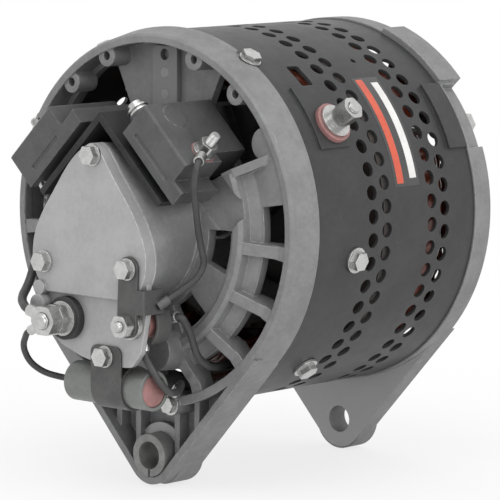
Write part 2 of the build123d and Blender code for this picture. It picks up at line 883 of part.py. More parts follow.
# Gasket between the cover and the tower
with BuildPart() as cover_gasket:
    with BuildSketch(across(tower_front)):
        add(ogive_face())
        add(lower_box_face())
        Circle(collector_chamber_radius, mode=Mode.SUBTRACT)
        with Locations((0, (brush_chamber_top + brush_chamber_bottom) / 2)):
            Rectangle(2 * brush_chamber_side, brush_chamber_top - brush_chamber_bottom, mode=Mode.SUBTRACT)
        with Locations(*all_cover_spots):
            Circle(cover_screw_radius + hole_clearance, mode=Mode.SUBTRACT)
        with Locations(output_spot):
            Circle(output_sleeve_radius + seat_clearance, mode=Mode.SUBTRACT)
    extrude(amount=-gasket_thickness)
cover_gasket.part.label = "cover_gasket"
export_step(cover_gasket.part, "parts/cover_gasket.step")

# Cover screws: two straight on the cover, one over the link and one over the capacitor's strap
with BuildPart() as cover_screws:
    for place in cover_screw_spots[1:]:
        add(screw(behind(cover_high, place), cover_screw_radius, tower_front + 12 - cover_high,
                  cover_screw_flats, cover_screw_head + cover_flange_height, cover_screw_flange, cover_flange_height))
    link_seat = cover_high - link_thickness
    add(screw(behind(link_seat, cover_screw_spots[0]), cover_screw_radius, tower_front + 12 - link_seat,
              cover_screw_flats, cover_screw_head + cover_flange_height, cover_screw_flange, cover_flange_height))
    strap_seat = cover_low - strap_thickness
    add(screw(behind(strap_seat, cover_lower_screw_spot), cover_screw_radius, tower_front + 12 - strap_seat,
              cover_screw_flats, cover_screw_head + cover_flange_height, cover_screw_flange, cover_flange_height))
cover_screws.part.label = "cover_screws"
export_step(cover_screws.part, "parts/cover_screws.step")

# Insulator of the output stud
with BuildPart() as output_insulator:
    add(tube(behind(cover_low, output_spot), output_disc_radius, output_stud_radius + seat_clearance, output_disc))
    add(tube(before(cover_low, output_spot), output_sleeve_radius, output_stud_radius + seat_clearance,
             output_stud_end - cover_low))
output_insulator.part.label = "output_insulator"
export_step(output_insulator.part, "parts/output_insulator.step")

output_washer_seat = cover_low - output_disc
output_nut_seat = output_washer_seat - output_washer
output_lug_seat = output_nut_seat - output_nut_rear
output_nut_front = output_lug_seat - 2 * lug_thickness

# Insulator, link and clip of the relay stud
relay_hole = relay_stud_radius + seat_clearance
relay_lug_seat = cover_seat + seat_clearance
relay_insulator_rear = relay_lug_seat + lug_thickness
clip_seat = relay_insulator_rear + relay_insulator_length
phase_lug_seat = clip_seat + clip_thickness
relay_back_seat = phase_lug_seat + lug_thickness
with BuildPart() as relay_insulator:
    add(tube(before(relay_insulator_rear, relay_spot), relay_insulator_radius, relay_hole, relay_insulator_length))
relay_insulator.part.label = "relay_insulator"
export_step(relay_insulator.part, "parts/relay_insulator.step")

with BuildPart() as terminal_link:
    with BuildSketch(across(cover_high)):
        with Locations(((relay_spot[0] + cover_screw_spots[0][0]) / 2, (relay_spot[1] + cover_screw_spots[0][1]) / 2)):
            SlotCenterToCenter(
                cover_screw_spots[0][1] - relay_spot[1], link_width, rotation=90 + degrees(atan(1 / 25.7))
            )
    extrude(amount=-link_thickness)
    with BuildSketch(across(cover_high - link_thickness)):
        with Locations((-35.2, -31.0)):
            Rectangle(link_thickness, 11)
    extrude(amount=13)
    with BuildSketch(across(cover_high - link_thickness)):
        with Locations((-33.3, -31.0)):
            Rectangle(5.3, 11)
    extrude(amount=link_thickness)
    with BuildSketch(across(cover_high)):
        with Locations(cover_screw_spots[0], relay_spot):
            Circle(relay_stud_radius + seat_clearance)
    extrude(amount=-link_thickness, mode=Mode.SUBTRACT)
    # Crimp barrel at the end of the bent tab
    crimp = Plane(origin=(link_seat + 9, -36.0, -33.2), x_dir=(0, 1, 0), z_dir=(8.5, -4.8, 6.3))
    with BuildSketch(crimp):
        Circle(thin_lead_radius + barrel_wall)
    extrude(amount=6)
    with BuildSketch(crimp):
        Circle(thin_lead_radius + seat_clearance)
    extrude(amount=6, mode=Mode.SUBTRACT)
terminal_link.part.label = "terminal_link"
export_step(terminal_link.part, "parts/terminal_link.step")

with BuildPart() as terminal_clip:
    with BuildSketch(before(clip_seat, relay_spot)):
        add(sector_face(relay_stud_radius, clip_radius, -55, 35))
        Circle(relay_insulator_radius - 1)
        Circle(relay_hole, mode=Mode.SUBTRACT)
    extrude(amount=clip_thickness)
    with BuildSketch(before(clip_seat - clip_depth, relay_spot)):
        add(sector_face(clip_radius - clip_thickness, clip_radius, -55, 35))
    extrude(amount=clip_depth)
terminal_clip.part.label = "terminal_clip"
export_step(terminal_clip.part, "parts/terminal_clip.step")

# Capacitor, its seal and its strap
with BuildPart() as capacitor:
    can = Plane(origin=(capacitor_place, capacitor_left, -capacitor_drop), x_dir=(1, 0, 0), z_dir=(0, -1, 0))
    with BuildSketch(can):
        Circle(capacitor_radius)
    extrude(amount=capacitor_left - capacitor_right)
    fillet(capacitor.faces().sort_by(Axis.Y)[-1].edges(), 1.2)
    with BuildSketch(can):
        Circle(thin_lead_radius + seat_clearance)
    extrude(amount=4, mode=Mode.SUBTRACT)
    with BuildSketch(can.offset(capacitor_left - capacitor_right)):
        Circle(capacitor_seal_radius)
    extrude(amount=-capacitor_seal_depth, mode=Mode.SUBTRACT)
capacitor.part.label = "capacitor"
export_step(capacitor.part, "parts/capacitor.step")

with BuildPart() as capacitor_seal:
    with BuildSketch(can.offset(capacitor_left - capacitor_right - capacitor_seal_depth)):
        Circle(capacitor_seal_radius - seat_clearance)
    extrude(amount=capacitor_seal_depth - 0.3)
    fillet(capacitor_seal.faces().sort_by(Axis.Y)[0].edges(), 0.6)
capacitor_seal.part.label = "capacitor_seal"
export_step(capacitor_seal.part, "parts/capacitor_seal.step")

with BuildPart() as capacitor_strap:
    band_outer = capacitor_place - strap_seat
    band = Plane(
        origin=(capacitor_place, cover_lower_screw_spot[0] + strap_side, -capacitor_drop),
        x_dir=(1, 0, 0), z_dir=(0, -1, 0),
    )
    with BuildSketch(band):
        Circle(band_outer)
    extrude(amount=2 * strap_side)
    with BuildSketch(across(cover_low)):
        with Locations((cover_lower_screw_spot[0], (cover_lower_screw_spot[1] + 5 - capacitor_drop) / 2)):
            Rectangle(2 * strap_side, cover_lower_screw_spot[1] + 5 + capacitor_drop)
    extrude(amount=-strap_thickness)
    fillet(capacitor_strap.edges().filter_by(Axis.X).group_by(Axis.Z)[-1], 4)
    with BuildSketch(band):
        Circle(capacitor_radius + seat_clearance)
    extrude(amount=2 * strap_side, mode=Mode.SUBTRACT)
    with BuildSketch(across(cover_low)):
        with Locations(cover_lower_screw_spot):
            Circle(cover_screw_radius + seat_clearance)
    extrude(amount=-strap_thickness, mode=Mode.SUBTRACT)
capacitor_strap.part.label = "capacitor_strap"
export_step(capacitor_strap.part, "parts/capacitor_strap.step")

# Heat sinks: the right one is drawn and the left one is its mirror image
with BuildPart() as heat_sink_right:
    end_on = Plane(origin=(rear_face, 0, 0), x_dir=(1, 0, 0), z_dir=(0, -1, -1))
    with BuildSketch(end_on.offset(sink_top)):
        with BuildLine():
            Polyline(*sink_profile, close=True)
        make_face()
    extrude(amount=sink_bottom - sink_top)
    # Step that clears the wall of the dish
    with BuildSketch(end_on.offset(sink_notch[1])):
        with Locations((sink_notch[0] + 15, (sink_inner + sink_outer) / 2)):
            Rectangle(30, 30)
    extrude(amount=20, mode=Mode.SUBTRACT)
    # Long groove along the front face
    with BuildSketch(over_sink(0, 46.0, 0)):
        with Locations((-30.5, (sink_top + sink_bottom) / 2)):
            Rectangle(3.0, 30)
    extrude(amount=2.4, mode=Mode.SUBTRACT)
    with BuildSketch(over_sink(sink_bump_spot[0], sink_outer, sink_bump_spot[1])):
        Circle(sink_bump_radius)
    extrude(amount=sink_bump_height)
    for x, t in diode_spots:
        with BuildSketch(over_sink(x, sink_inner, t)):
            Circle(diode_radius + seat_clearance)
        extrude(amount=diode_depth, mode=Mode.SUBTRACT)
    for x, t in sink_screw_spots:
        with BuildSketch(over_sink(x, sink_inner, t)):
            Circle(sink_screw_radius + seat_clearance)
        extrude(amount=sink_screw_depth + 1, mode=Mode.SUBTRACT)
    with BuildSketch(over_sink(sink_stud_spot[0], sink_outer, sink_stud_spot[1])):
        Circle(sink_stud_radius + seat_clearance)
    extrude(amount=-sink_stud_depth - 0.5, mode=Mode.SUBTRACT)
    for t, way in ((sink_top, 1), (sink_bottom, -1)):
        with BuildSketch(end_on.offset(t)):
            with Locations((end_screw_place, end_screw_height)):
                Circle(sink_screw_radius + seat_clearance)
        extrude(amount=way * (sink_screw_depth + 1), mode=Mode.SUBTRACT)
heat_sink_right.part.label = "heat_sink_right"
export_step(heat_sink_right.part, "parts/heat_sink_right.step")

with BuildPart() as heat_sink_left:
    add(mirror(heat_sink_right.part, about=Plane.XZ))
heat_sink_left.part.label = "heat_sink_left"
export_step(heat_sink_left.part, "parts/heat_sink_left.step")

with BuildPart() as diodes:
    for x, t in diode_spots:
        add(tube(over_sink(x, sink_inner, t), diode_radius, 0, diode_depth - 0.5))
        add(tube(over_sink(x, sink_inner - diode_rim, t), diode_rim_radius, 0, diode_rim))
        add(tube(over_sink(x, sink_inner - diode_pin_length, t), diode_pin_radius, 0, diode_pin_length))
    mirror(about=Plane.XZ)
diodes.part.label = "diodes"
export_step(diodes.part, "parts/diodes.step")

# Bracket that carries both heat sinks, with its upright foot on the floor
with BuildPart() as sink_bracket:
    bracket_front = upper_floor_front
    inner = bracket_outer - bracket_thickness
    corner = sqrt(2)
    with BuildSketch(across(bracket_rear)):
        with BuildLine():
            Polyline(
                (0, inner * corner), ((inner + sink_bottom) / corner, (inner - sink_bottom) / corner),
                ((bracket_outer + sink_bottom) / corner, (bracket_outer - sink_bottom) / corner),
                (0, bracket_outer * corner), (-(bracket_outer + sink_bottom) / corner, (bracket_outer - sink_bottom) / corner),
                (-(inner + sink_bottom) / corner, (inner - sink_bottom) / corner), close=True,
            )
        make_face()
    extrude(amount=rear_face + bracket_back - bracket_rear)
    with BuildSketch(across(rear_face + bracket_back)):
        with BuildLine():
            Polyline(
                (0, inner * corner), ((inner + bracket_step) / corner, (inner - bracket_step) / corner),
                ((bracket_outer + bracket_step) / corner, (bracket_outer - bracket_step) / corner),
                (0, bracket_outer * corner),
                (-(bracket_outer + bracket_step) / corner, (bracket_outer - bracket_step) / corner),
                (-(inner + bracket_step) / corner, (inner - bracket_step) / corner), close=True,
            )
        make_face()
    extrude(amount=bracket_front - rear_face - bracket_back)
    with BuildSketch(across(bracket_front)):
        with Locations((0, (inner * corner + 1.5 + bracket_tab_top) / 2)):
            Rectangle(2 * bracket_tab_half, bracket_tab_top - inner * corner - 1.5)
    extrude(amount=-bracket_thickness)
    fillet(sink_bracket.edges().filter_by(Axis.X).group_by(Axis.Z)[-1], 2)
    with BuildSketch(across(bracket_front)):
        with Locations((0, bracket_tab_hole_height)):
            Circle(bracket_tab_hole)
        with Locations(*[(0, z) for z in bracket_screw_heights]):
            Circle(bracket_screw_radius + seat_clearance)
    extrude(amount=-bracket_thickness, mode=Mode.SUBTRACT)
    with BuildSketch(across(bracket_front)):
        with BuildLine():
            Polyline((0, inner * corner), (14, inner * corner - 14), (-14, inner * corner - 14), close=True)
        make_face()
    extrude(amount=-bracket_thickness, mode=Mode.SUBTRACT)
    for spots, radius in ((diode_spots, diode_way), (sink_screw_spots, sink_screw_radius + hole_clearance)):
        for x, t in spots:
            for plane in (over_sink(x, inner - 1, t), over_left_sink(x, inner - 1, t)):
                with BuildSketch(plane):
                    Circle(radius)
                extrude(amount=bracket_thickness + 2, mode=Mode.SUBTRACT)
sink_bracket.part.label = "sink_bracket"
export_step(sink_bracket.part, "parts/sink_bracket.step")

# Screws of the bracket: into its foot, into the heat sinks, and one in an end face of each heat sink
upper_end = Plane(origin=(rear_face, 0, 0), x_dir=(1, 0, 0), z_dir=(0, 1, 1)).offset(-sink_top)
upper_base = upper_end.from_local_coords((end_screw_place, -end_screw_height, 0))
lower_end = Plane(origin=(rear_face, 0, 0), x_dir=(1, 0, 0), z_dir=(0, 1, -1)).offset(sink_bottom)
lower_base = lower_end.from_local_coords((end_screw_place, -end_screw_height, 0))
end_washer = 1.0
with BuildPart() as bracket_screws:
    for x, t in sink_screw_spots:
        seat = over_sink(x, inner, t)
        add(cap_screw(Plane(origin=seat.origin, x_dir=(1, 0, 0), z_dir=(0, 1, -1)), sink_screw_radius,
                      sink_inner - inner + sink_screw_depth, sink_screw_head_radius, sink_screw_head))
    mirror(about=Plane.XZ)
    for z in bracket_screw_heights:
        add(cap_screw(before(upper_floor_front + floor_thickness, (0, z)), bracket_screw_radius,
                      floor_thickness + bracket_thickness, 4.5, 3.0))
    add(cap_screw(Plane(origin=upper_base, x_dir=(1, 0, 0), z_dir=upper_end.z_dir).offset(3 * end_washer),
                  sink_screw_radius, 3 * end_washer + sink_screw_depth, sink_screw_head_radius, sink_screw_head))
    add(cap_screw(Plane(origin=lower_base, x_dir=(1, 0, 0), z_dir=lower_end.z_dir).offset(lug_thickness),
                  sink_screw_radius, lug_thickness + sink_screw_depth, sink_screw_head_radius, sink_screw_head))
bracket_screws.part.label = "bracket_screws"
export_step(bracket_screws.part, "parts/bracket_screws.step")

# Insulating washers under the heat sinks' studs and between the heat sinks and the bracket
stud_base = over_sink(sink_stud_spot[0], sink_outer, sink_stud_spot[1])
with BuildPart() as sink_washers:
    add(tube(stud_base, sink_washer_radius, sink_stud_radius + seat_clearance, sink_washer))
    for x, t in sink_screw_spots:
        add(tube(over_sink(x, bracket_outer, t), sink_spacer_radius, sink_screw_radius + seat_clearance,
                 sink_inner - bracket_outer))
    mirror(about=Plane.XZ)
sink_washers.part.label = "sink_washers"
export_step(sink_washers.part, "parts/sink_washers.step")

# Small studs: one on the outer face of each heat sink and the relay stud through the cover
with BuildPart() as small_studs:
    add(tube(stud_base.offset(-sink_stud_depth), sink_stud_radius, 0, sink_stud_depth + sink_stud_length))
    mirror(about=Plane.XZ)
    add(tube(before(relay_tip, relay_spot), relay_stud_radius, 0, relay_stud_end - relay_tip))
    chamfer(small_studs.faces().sort_by(Axis.X)[0].edges(), 0.5)
small_studs.part.label = "small_studs"
export_step(small_studs.part, "parts/small_studs.step")

# Nuts and washers of the small studs and of the upper end screw
with BuildPart() as small_nuts:
    sink_hole = sink_stud_radius + seat_clearance
    add(nut(stud_base.offset(sink_washer + lug_thickness), sink_nut_flats, sink_nut_height, sink_hole))
    add(mirror(nut(stud_base.offset(sink_washer), sink_nut_flats, sink_nut_height, sink_hole), about=Plane.XZ))
    add(tube(behind(cover_low, relay_spot), relay_washer_radius, relay_hole, cover_step))
    add(nut(behind(link_seat, relay_spot), relay_nut_flats, relay_nut_height, relay_hole))
    add(nut(before(relay_back_seat, relay_spot), relay_back_nut_flats, relay_back_nut_height, relay_hole))
    for step, outer in enumerate((5.2, 4.4, 5.2)):
        add(tube(Plane(origin=upper_base, x_dir=(1, 0, 0), z_dir=upper_end.z_dir).offset(step * end_washer), outer,
                 sink_screw_radius + seat_clearance, end_washer))
small_nuts.part.label = "small_nuts"
export_step(small_nuts.part, "parts/small_nuts.step")

# Shell with its rows of holes
with BuildPart() as shell:
    add(ring(shell_rear, shell_front, shell_radius, shell_bore))
    with BuildSketch(radial(shell_rear + (shell_window[0] + shell_window[1]) / 2,
                            (shell_window[2] + shell_window[3]) / 2, shell_bore - 5)):
        RectangleRounded(shell_window[1] - shell_window[0],
                         radians(shell_window[3] - shell_window[2]) * shell_radius, 1.5)
    extrude(amount=12, mode=Mode.SUBTRACT)
    vents = [
        Location(radial(shell_rear + place, phase + 360 * k / vent_count, shell_radius))
        for place, phase in vent_rows for k in range(vent_count)
    ]
    with Locations(*vents):
        Cylinder(vent_radius, 8, mode=Mode.SUBTRACT)
    ports = [Location(radial(shell_rear + 69.3, 55.4, shell_radius))]
    with Locations(*ports):
        Cylinder(1.5, 8, mode=Mode.SUBTRACT)
    with Locations(*[Location(radial(shell_rear + shell_screw_offset, a, shell_radius)) for a in shell_screw_angles]):
        Cylinder(shell_screw_radius + hole_clearance, 8, mode=Mode.SUBTRACT)
    with Locations(*[Location(radial(shell_rear + rim_screw_offset, a, shell_radius)) for a in rim_screw_angles]):
        Cylinder(rim_screw_radius + seat_clearance, 8, mode=Mode.SUBTRACT)
    # Raised plates, one under the terminal and one at the drive end
    plate_base = shell_radius - shell_wall / 2
    plate_top = shell_radius + terminal_plate_height
    add(sectors(shell_rear + terminal_plate[0], terminal_plate[1] - terminal_plate[0], plate_base, plate_top,
                [terminal_plate[2:]]))
    add(sectors(shell_front - 14, 13, plate_base, plate_top + 0.8, [(20.5, 42.5)]))
    with Locations(Location(radial(shell_rear + shell_stud_offset, shell_stud_angle, shell_radius))):
        Cylinder(shell_stud_radius + hole_clearance, 8, mode=Mode.SUBTRACT)
shell.part.label = "shell"
export_step(shell.part, "parts/shell.step")

# Insulating washers of the shell's terminal, outside and inside
stud_plane = radial(shell_rear + shell_stud_offset, shell_stud_angle, plate_top)
with BuildPart() as shell_insulators:
    with BuildSketch(stud_plane.offset(-1)):
        Circle(shell_insulator_radius)
        Circle(shell_stud_radius + seat_clearance, mode=Mode.SUBTRACT)
    extrude(amount=shell_insulator + 1)
    add(ring(shell_rear + 2, shell_rear + 46, plate_top, 60), mode=Mode.SUBTRACT)
    add(tube(radial(shell_rear + shell_stud_offset, shell_stud_angle, shell_bore - 1.3), 6.0,
             shell_stud_radius + seat_clearance, 1.0))
shell_insulators.part.label = "shell_insulators"
export_step(shell_insulators.part, "parts/shell_insulators.step")

# Large studs: the output stud through the cover and the stud through the shell
with BuildPart() as terminal_studs:
    head_base = radial(shell_rear + shell_stud_offset, shell_stud_angle, shell_bore - 2.3)
    add(tube(head_base, 5.0, 0, 1.0))
    add(tube(head_base, shell_stud_radius, 0, plate_top + shell_stud_length - shell_bore + 2.3))
    chamfer(terminal_studs.faces().sort_by(Axis.Y)[0].edges(), 0.6)
    add(tube(before(output_tip, output_spot), output_stud_radius, 0, output_stud_end - output_tip))
    chamfer(terminal_studs.faces().sort_by(Axis.X)[0].edges(), 0.8)
terminal_studs.part.label = "terminal_studs"
export_step(terminal_studs.part, "parts/terminal_studs.step")

# Nuts and washers of the large studs
with BuildPart() as terminal_nuts:
    stud_hole = output_stud_radius + seat_clearance
    add(tube(behind(output_washer_seat, output_spot), output_washer_radius, stud_hole, output_washer))
    add(nut(behind(output_nut_seat, output_spot), output_nut_flats, output_nut_rear, stud_hole))
    add(nut(behind(output_nut_front, output_spot), output_nut_flats, output_nut_height, stud_hole))
    stack = shell_insulator
    add(tube(stud_plane.offset(stack), shell_washer_radius, shell_stud_radius + seat_clearance, shell_washer))
    stack += shell_washer
    add(tube(stud_plane.offset(stack), shell_spacer_radius, shell_stud_radius + seat_clearance, shell_spacer))
    stack += shell_spacer
    add(nut(stud_plane.offset(stack), shell_nut_flats, shell_nut_tall, shell_stud_radius + seat_clearance))
terminal_nuts.part.label = "terminal_nuts"
export_step(terminal_nuts.part, "parts/terminal_nuts.step")

# Flanged screws through the shell, two of them across its joint with the rear rim
with BuildPart() as shell_screws:
    for angle in shell_screw_angles:
        add(screw(radial(shell_rear + shell_screw_offset, angle, shell_radius), shell_screw_radius,
                  shell_wall + shell_nut_height + 0.8, shell_screw_flats, 4.5, shell_screw_flange, 1.4))
    for angle in rim_screw_angles:
        add(screw(radial(shell_rear + rim_screw_offset, angle, shell_radius), rim_screw_radius, 6.3,
                  rim_screw_flats, rim_screw_head, 5.2, 1.2))
shell_screws.part.label = "shell_screws"
export_step(shell_screws.part, "parts/shell_screws.step")

with BuildPart() as shell_nuts:
    for angle in shell_screw_angles:
        seat = radial(shell_rear + shell_screw_offset, angle, shell_bore - 0.15)
        add(nut(Plane(origin=seat.origin, x_dir=(1, 0, 0), z_dir=-seat.z_dir), shell_screw_flats, shell_nut_height - 0.5,
                shell_screw_radius + seat_clearance))
shell_nuts.part.label = "shell_nuts"
export_step(shell_nuts.part, "parts/shell_nuts.step")

# Drive-end housing
with BuildPart() as front_housing:
    with BuildSketch(Plane.XZ):
        with BuildLine():
            Polyline(
                (shell_front - spigot_length, drive_rim_radius - drive_rim_wall),
                (shell_front - spigot_length, shell_bore - seat_clearance),
                (shell_front, shell_bore - seat_clearance), (shell_front, drive_rim_radius),
                (drive_face - drive_rim_edge, drive_rim_radius), (drive_face, drive_rim_radius - drive_rim_edge),
                (drive_face, front_hub_radius - 1), (drive_face - end_wall, front_hub_radius - 1),
                (drive_face - end_wall, drive_rim_radius - drive_rim_wall), close=True,
            )
        make_face()
    revolve(axis=Axis.X)
    with BuildSketch(across(drive_face)):
        pitch = 360 / drive_window_count
        for k in range(drive_window_count):
            middle = 90 + pitch * (k + 0.5)
            add(sector_face(*drive_window, middle - drive_window_span / 2, middle + drive_window_span / 2))
    extrude(amount=-end_wall, mode=Mode.SUBTRACT)
    # Ribs inside the end wall, between the windows
    for k in range(drive_window_count):
        with BuildSketch(lengthwise(90 + pitch * k)):
            with BuildLine():
                Polyline(
                    (drive_face - 1, front_hub_radius - 1), (drive_face - end_wall - drive_rib_depth, front_hub_radius - 1),
                    (drive_face - end_wall - 3, drive_rim_radius - drive_rim_wall + 1),
                    (drive_face - 1, drive_rim_radius - drive_rim_wall + 1), close=True,
                )
            make_face()
        extrude(amount=drive_rib_width / 2, both=True)
    # Hub and bosses
    with BuildSketch(across(front_hub_rear)):
        Circle(front_hub_radius)
    extrude(amount=drive_face - front_hub_rear)
    with BuildSketch(across(shell_front - spigot_length)):
        with Locations(*[spot(bolt_circle, a) for a in bolt_angles]):
            Circle(bolt_boss_radius - 1.6)
    extrude(amount=drive_face - shell_front + spigot_length)
    # Thick lobe with the hole for the adjusting arm
    add(sectors(shell_front, lobe_depth, drive_rim_radius - drive_rim_wall, lobe_radius, [lobe_angles]))
    with BuildSketch(across(shell_front + lobe_depth - adjust_boss_depth)):
        with Locations(spot(adjust_hole_circle, adjust_hole_angle)):
            Circle(adjust_boss_radius)
    extrude(amount=adjust_boss_depth)
    # Waist beside the lobe
    add(sectors(shell_front + 1.5, 20, waist_radius, waist_radius + 8, [waist_angles]), mode=Mode.SUBTRACT)
    # Hinge lug
    with BuildSketch(across(front_lug_rear)):
        add(hull_face(drive_rim_radius - 0.6, rear_lug_radius - 0.8))
        Circle(drive_rim_radius - drive_rim_wall, mode=Mode.SUBTRACT)
    extrude(amount=front_lug_web)
    with BuildSketch(across(front_lug_rear + 0.3)):
        with Locations((0, -lug_drop)):
            Circle(rear_lug_radius)
    extrude(amount=front_boss_length)
    # Seat for the head of the lowest bolt
    with BuildSketch(across(drive_face)):
        with Locations(spot(bolt_circle, 270)):
            Circle(8.5)
    extrude(amount=10, mode=Mode.SUBTRACT)
    # Bores
    with BuildSketch(across(front_lug_rear - 5)):
        with Locations((0, -lug_drop)):
            Circle(lug_bolt_radius)
    extrude(amount=30, mode=Mode.SUBTRACT)
    with BuildSketch(across(front_hub_rear)):
        Circle(front_bearing_radius + seat_clearance)
    extrude(amount=front_bearing_width, mode=Mode.SUBTRACT)
    with BuildSketch(across(drive_face)):
        Circle(retainer_bore)
    extrude(amount=-10, mode=Mode.SUBTRACT)
    with BuildSketch(across(drive_face)):
        with Locations(*[spot(bolt_circle, a) for a in bolt_angles]):
            Circle(bolt_radius + hole_clearance)
    extrude(amount=-40, mode=Mode.SUBTRACT)
    with BuildSketch(across(shell_front - 10)):
        with Locations(spot(adjust_hole_circle, adjust_hole_angle)):
            Circle(adjust_hole_radius)
    extrude(amount=40, mode=Mode.SUBTRACT)
    with BuildSketch(across(front_hub_rear)):
        with PolarLocations(retainer_circle, retainer_screw_count, start_angle=45):
            Circle(retainer_screw_radius + seat_clearance)
    extrude(amount=retainer_screw_length, mode=Mode.SUBTRACT)
front_housing.part.label = "front_housing"
export_step(front_housing.part, "parts/front_housing.step")

with BuildPart() as bearing_retainer:
    with BuildSketch(across(front_hub_rear)):
        Circle(front_hub_radius)
        Circle(retainer_bore, mode=Mode.SUBTRACT)
        with PolarLocations(retainer_circle, retainer_screw_count, start_angle=45):
            Circle(retainer_screw_radius + seat_clearance, mode=Mode.SUBTRACT)
    extrude(amount=-retainer_thickness)
bearing_retainer.part.label = "bearing_retainer"
export_step(bearing_retainer.part, "parts/bearing_retainer.step")

with BuildPart() as retainer_screws:
    for k in range(retainer_screw_count):
        turn = radians(45 + 360 * k / retainer_screw_count)
        place = (retainer_circle * cos(turn), retainer_circle * sin(turn))
        add(cap_screw(behind(front_hub_rear - retainer_thickness, place), retainer_screw_radius,
                      retainer_screw_length, retainer_head_radius, retainer_head_height))
retainer_screws.part.label = "retainer_screws"
export_step(retainer_screws.part, "parts/retainer_screws.step")

# Through bolts, screwed into the rear housing
with BuildPart() as through_bolts:
    for angle in bolt_angles:
        add(screw(before(drive_face, spot(bolt_circle, angle)), bolt_radius, drive_face - bolt_thread_rear - 0.5,
                  bolt_head_flats, bolt_head_height))
through_bolts.part.label = "through_bolts"
export_step(through_bolts.part, "parts/through_bolts.step")

# Stator
with BuildPart() as stator_core:
    with BuildSketch(across(core_rear)):
        Circle(shell_bore - seat_clearance)
        Circle(core_bore, mode=Mode.SUBTRACT)
        with PolarLocations(core_bore + slot_depth / 2 + 1.0, slot_count):
            Rectangle(slot_depth - 2.0, slot_width, mode=Mode.SUBTRACT)
        with PolarLocations(core_bore + 1.5, slot_count):
            Rectangle(4.0, slot_mouth, mode=Mode.SUBTRACT)
        with Locations(*[spot(bolt_circle, a) for a in bolt_angles]):
            Circle(bolt_radius + hole_clearance, mode=Mode.SUBTRACT)
    extrude(amount=core_length)
stator_core.part.label = "stator_core"
export_step(stator_core.part, "parts/stator_core.step")

with BuildPart() as stator_winding:
    with BuildSketch(across(core_rear - 1)):
        with PolarLocations(core_bore + slot_depth / 2 + 1.0, slot_count):
            Rectangle(slot_depth - 2.8, conductor_width)
    extrude(amount=core_length + 2)
    for face, way in ((core_rear - 0.5, -1), (core_front + 0.5, 1)):
        with BuildSketch(Plane.XZ):
            with BuildLine():
                Polyline(
                    (face, end_turn_inner - 1), (face, end_turn_outer - 4), (face + way * 4, end_turn_outer),
                    (face + way * (end_turn_length - 5), end_turn_outer - 1),
                    (face + way * end_turn_length, end_turn_outer - 6), (face + way * end_turn_length, end_turn_inner + 5),
                    (face + way * (end_turn_length - 4), end_turn_inner), close=True,
                )
            make_face()
        revolve(axis=Axis.X)
    with BuildSketch(across(core_rear - 20)):
        with Locations(*[spot(bolt_circle, a) for a in bolt_angles]):
            Circle(bolt_radius + 1.5)
    extrude(amount=core_length + 40, mode=Mode.SUBTRACT)
stator_winding.part.label = "stator_winding"
export_step(stator_winding.part, "parts/stator_winding.step")

# Shaft, with steps for the bearings, the poles and the pulley
shaft_steps = (
    (rear_face - 33.5, rear_face + 10.0, rear_bearing_bore), (rear_face + 10.0, rear_face + 47.0, rear_step_radius),
    (rear_face + 47.0, collar_rear, rotor_seat_radius), (collar_rear, front_bearing_rear, collar_radius),
    (front_bearing_rear, 0.0, front_bearing_bore), (0.0, pulley_seat_length, pulley_seat_radius),
    (pulley_seat_length, pulley_seat_length + shaft_thread_length, shaft_thread_radius),
)
with BuildPart() as shaft:
    for start, end, radius in shaft_steps:
        with BuildSketch(across(start)):
            Circle(radius)
        extrude(amount=end - start)
    with BuildSketch(Plane.XY.offset(pulley_seat_radius - keyway_depth)):
        with Locations((pulley_seat_length - keyway_length / 2 - 3, 0)):
            SlotOverall(keyway_length, keyway_width)
    extrude(amount=keyway_depth + 2, mode=Mode.SUBTRACT)
    chamfer(shaft.faces().sort_by(Axis.X)[-1].edges(), 1.2)
shaft.part.label = "shaft"
export_step(shaft.part, "parts/shaft.step")

with BuildPart() as spacer:
    add(ring(front_bearing_front, 0, spacer_radius, front_bearing_bore + seat_clearance))
spacer.part.label = "spacer"
export_step(spacer.part, "parts/spacer.step")

# Claw poles: the same casting at both ends, half a pitch apart
for name, face, way, start_angle in (
    ("pole_rear", pole_rear_face, 1, 0.0), ("pole_front", pole_front_face, -1, 180 / claw_count),
):
    with BuildPart() as pole:
        with BuildSketch(Plane.XZ):
            with BuildLine():
                Polyline(
                    (face, rotor_seat_radius + seat_clearance), (face, rotor_radius - 3), (face + way * 3, rotor_radius),
                    (face + way * pole_length, rotor_radius), (face + way * pole_length, rotor_radius - claw_tip_thickness),
                    (face + way * (pole_disc + 3), rotor_radius - 12), (face + way * pole_disc, rotor_radius - 12),
                    (face + way * pole_disc, pole_core_radius), (face + way * pole_stack / 2, pole_core_radius),
                    (face + way * pole_stack / 2, rotor_seat_radius + seat_clearance), close=True,
                )
            make_face()
        revolve(axis=Axis.X)
        with BuildPart(mode=Mode.PRIVATE) as keep:
            with BuildSketch(across(face)):
                Circle(pole_neck_radius)
            extrude(amount=way * pole_stack)
            for k in range(claw_count):
                with BuildSketch(radial(0, start_angle + 360 * k / claw_count, pole_neck_radius - 12)):
                    with BuildLine():
                        Polyline(
                            (face, claw_root_width / 2), (face + way * pole_disc, claw_root_width / 2),
                            (face + way * pole_length, claw_tip_width / 2), (face + way * pole_length, -claw_tip_width / 2),
                            (face + way * pole_disc, -claw_root_width / 2), (face, -claw_root_width / 2), close=True,
                        )
                    make_face()
                extrude(amount=50)
        add(keep.part, mode=Mode.INTERSECT)
    pole.part.label = name
    export_step(pole.part, f"parts/{name}.step")

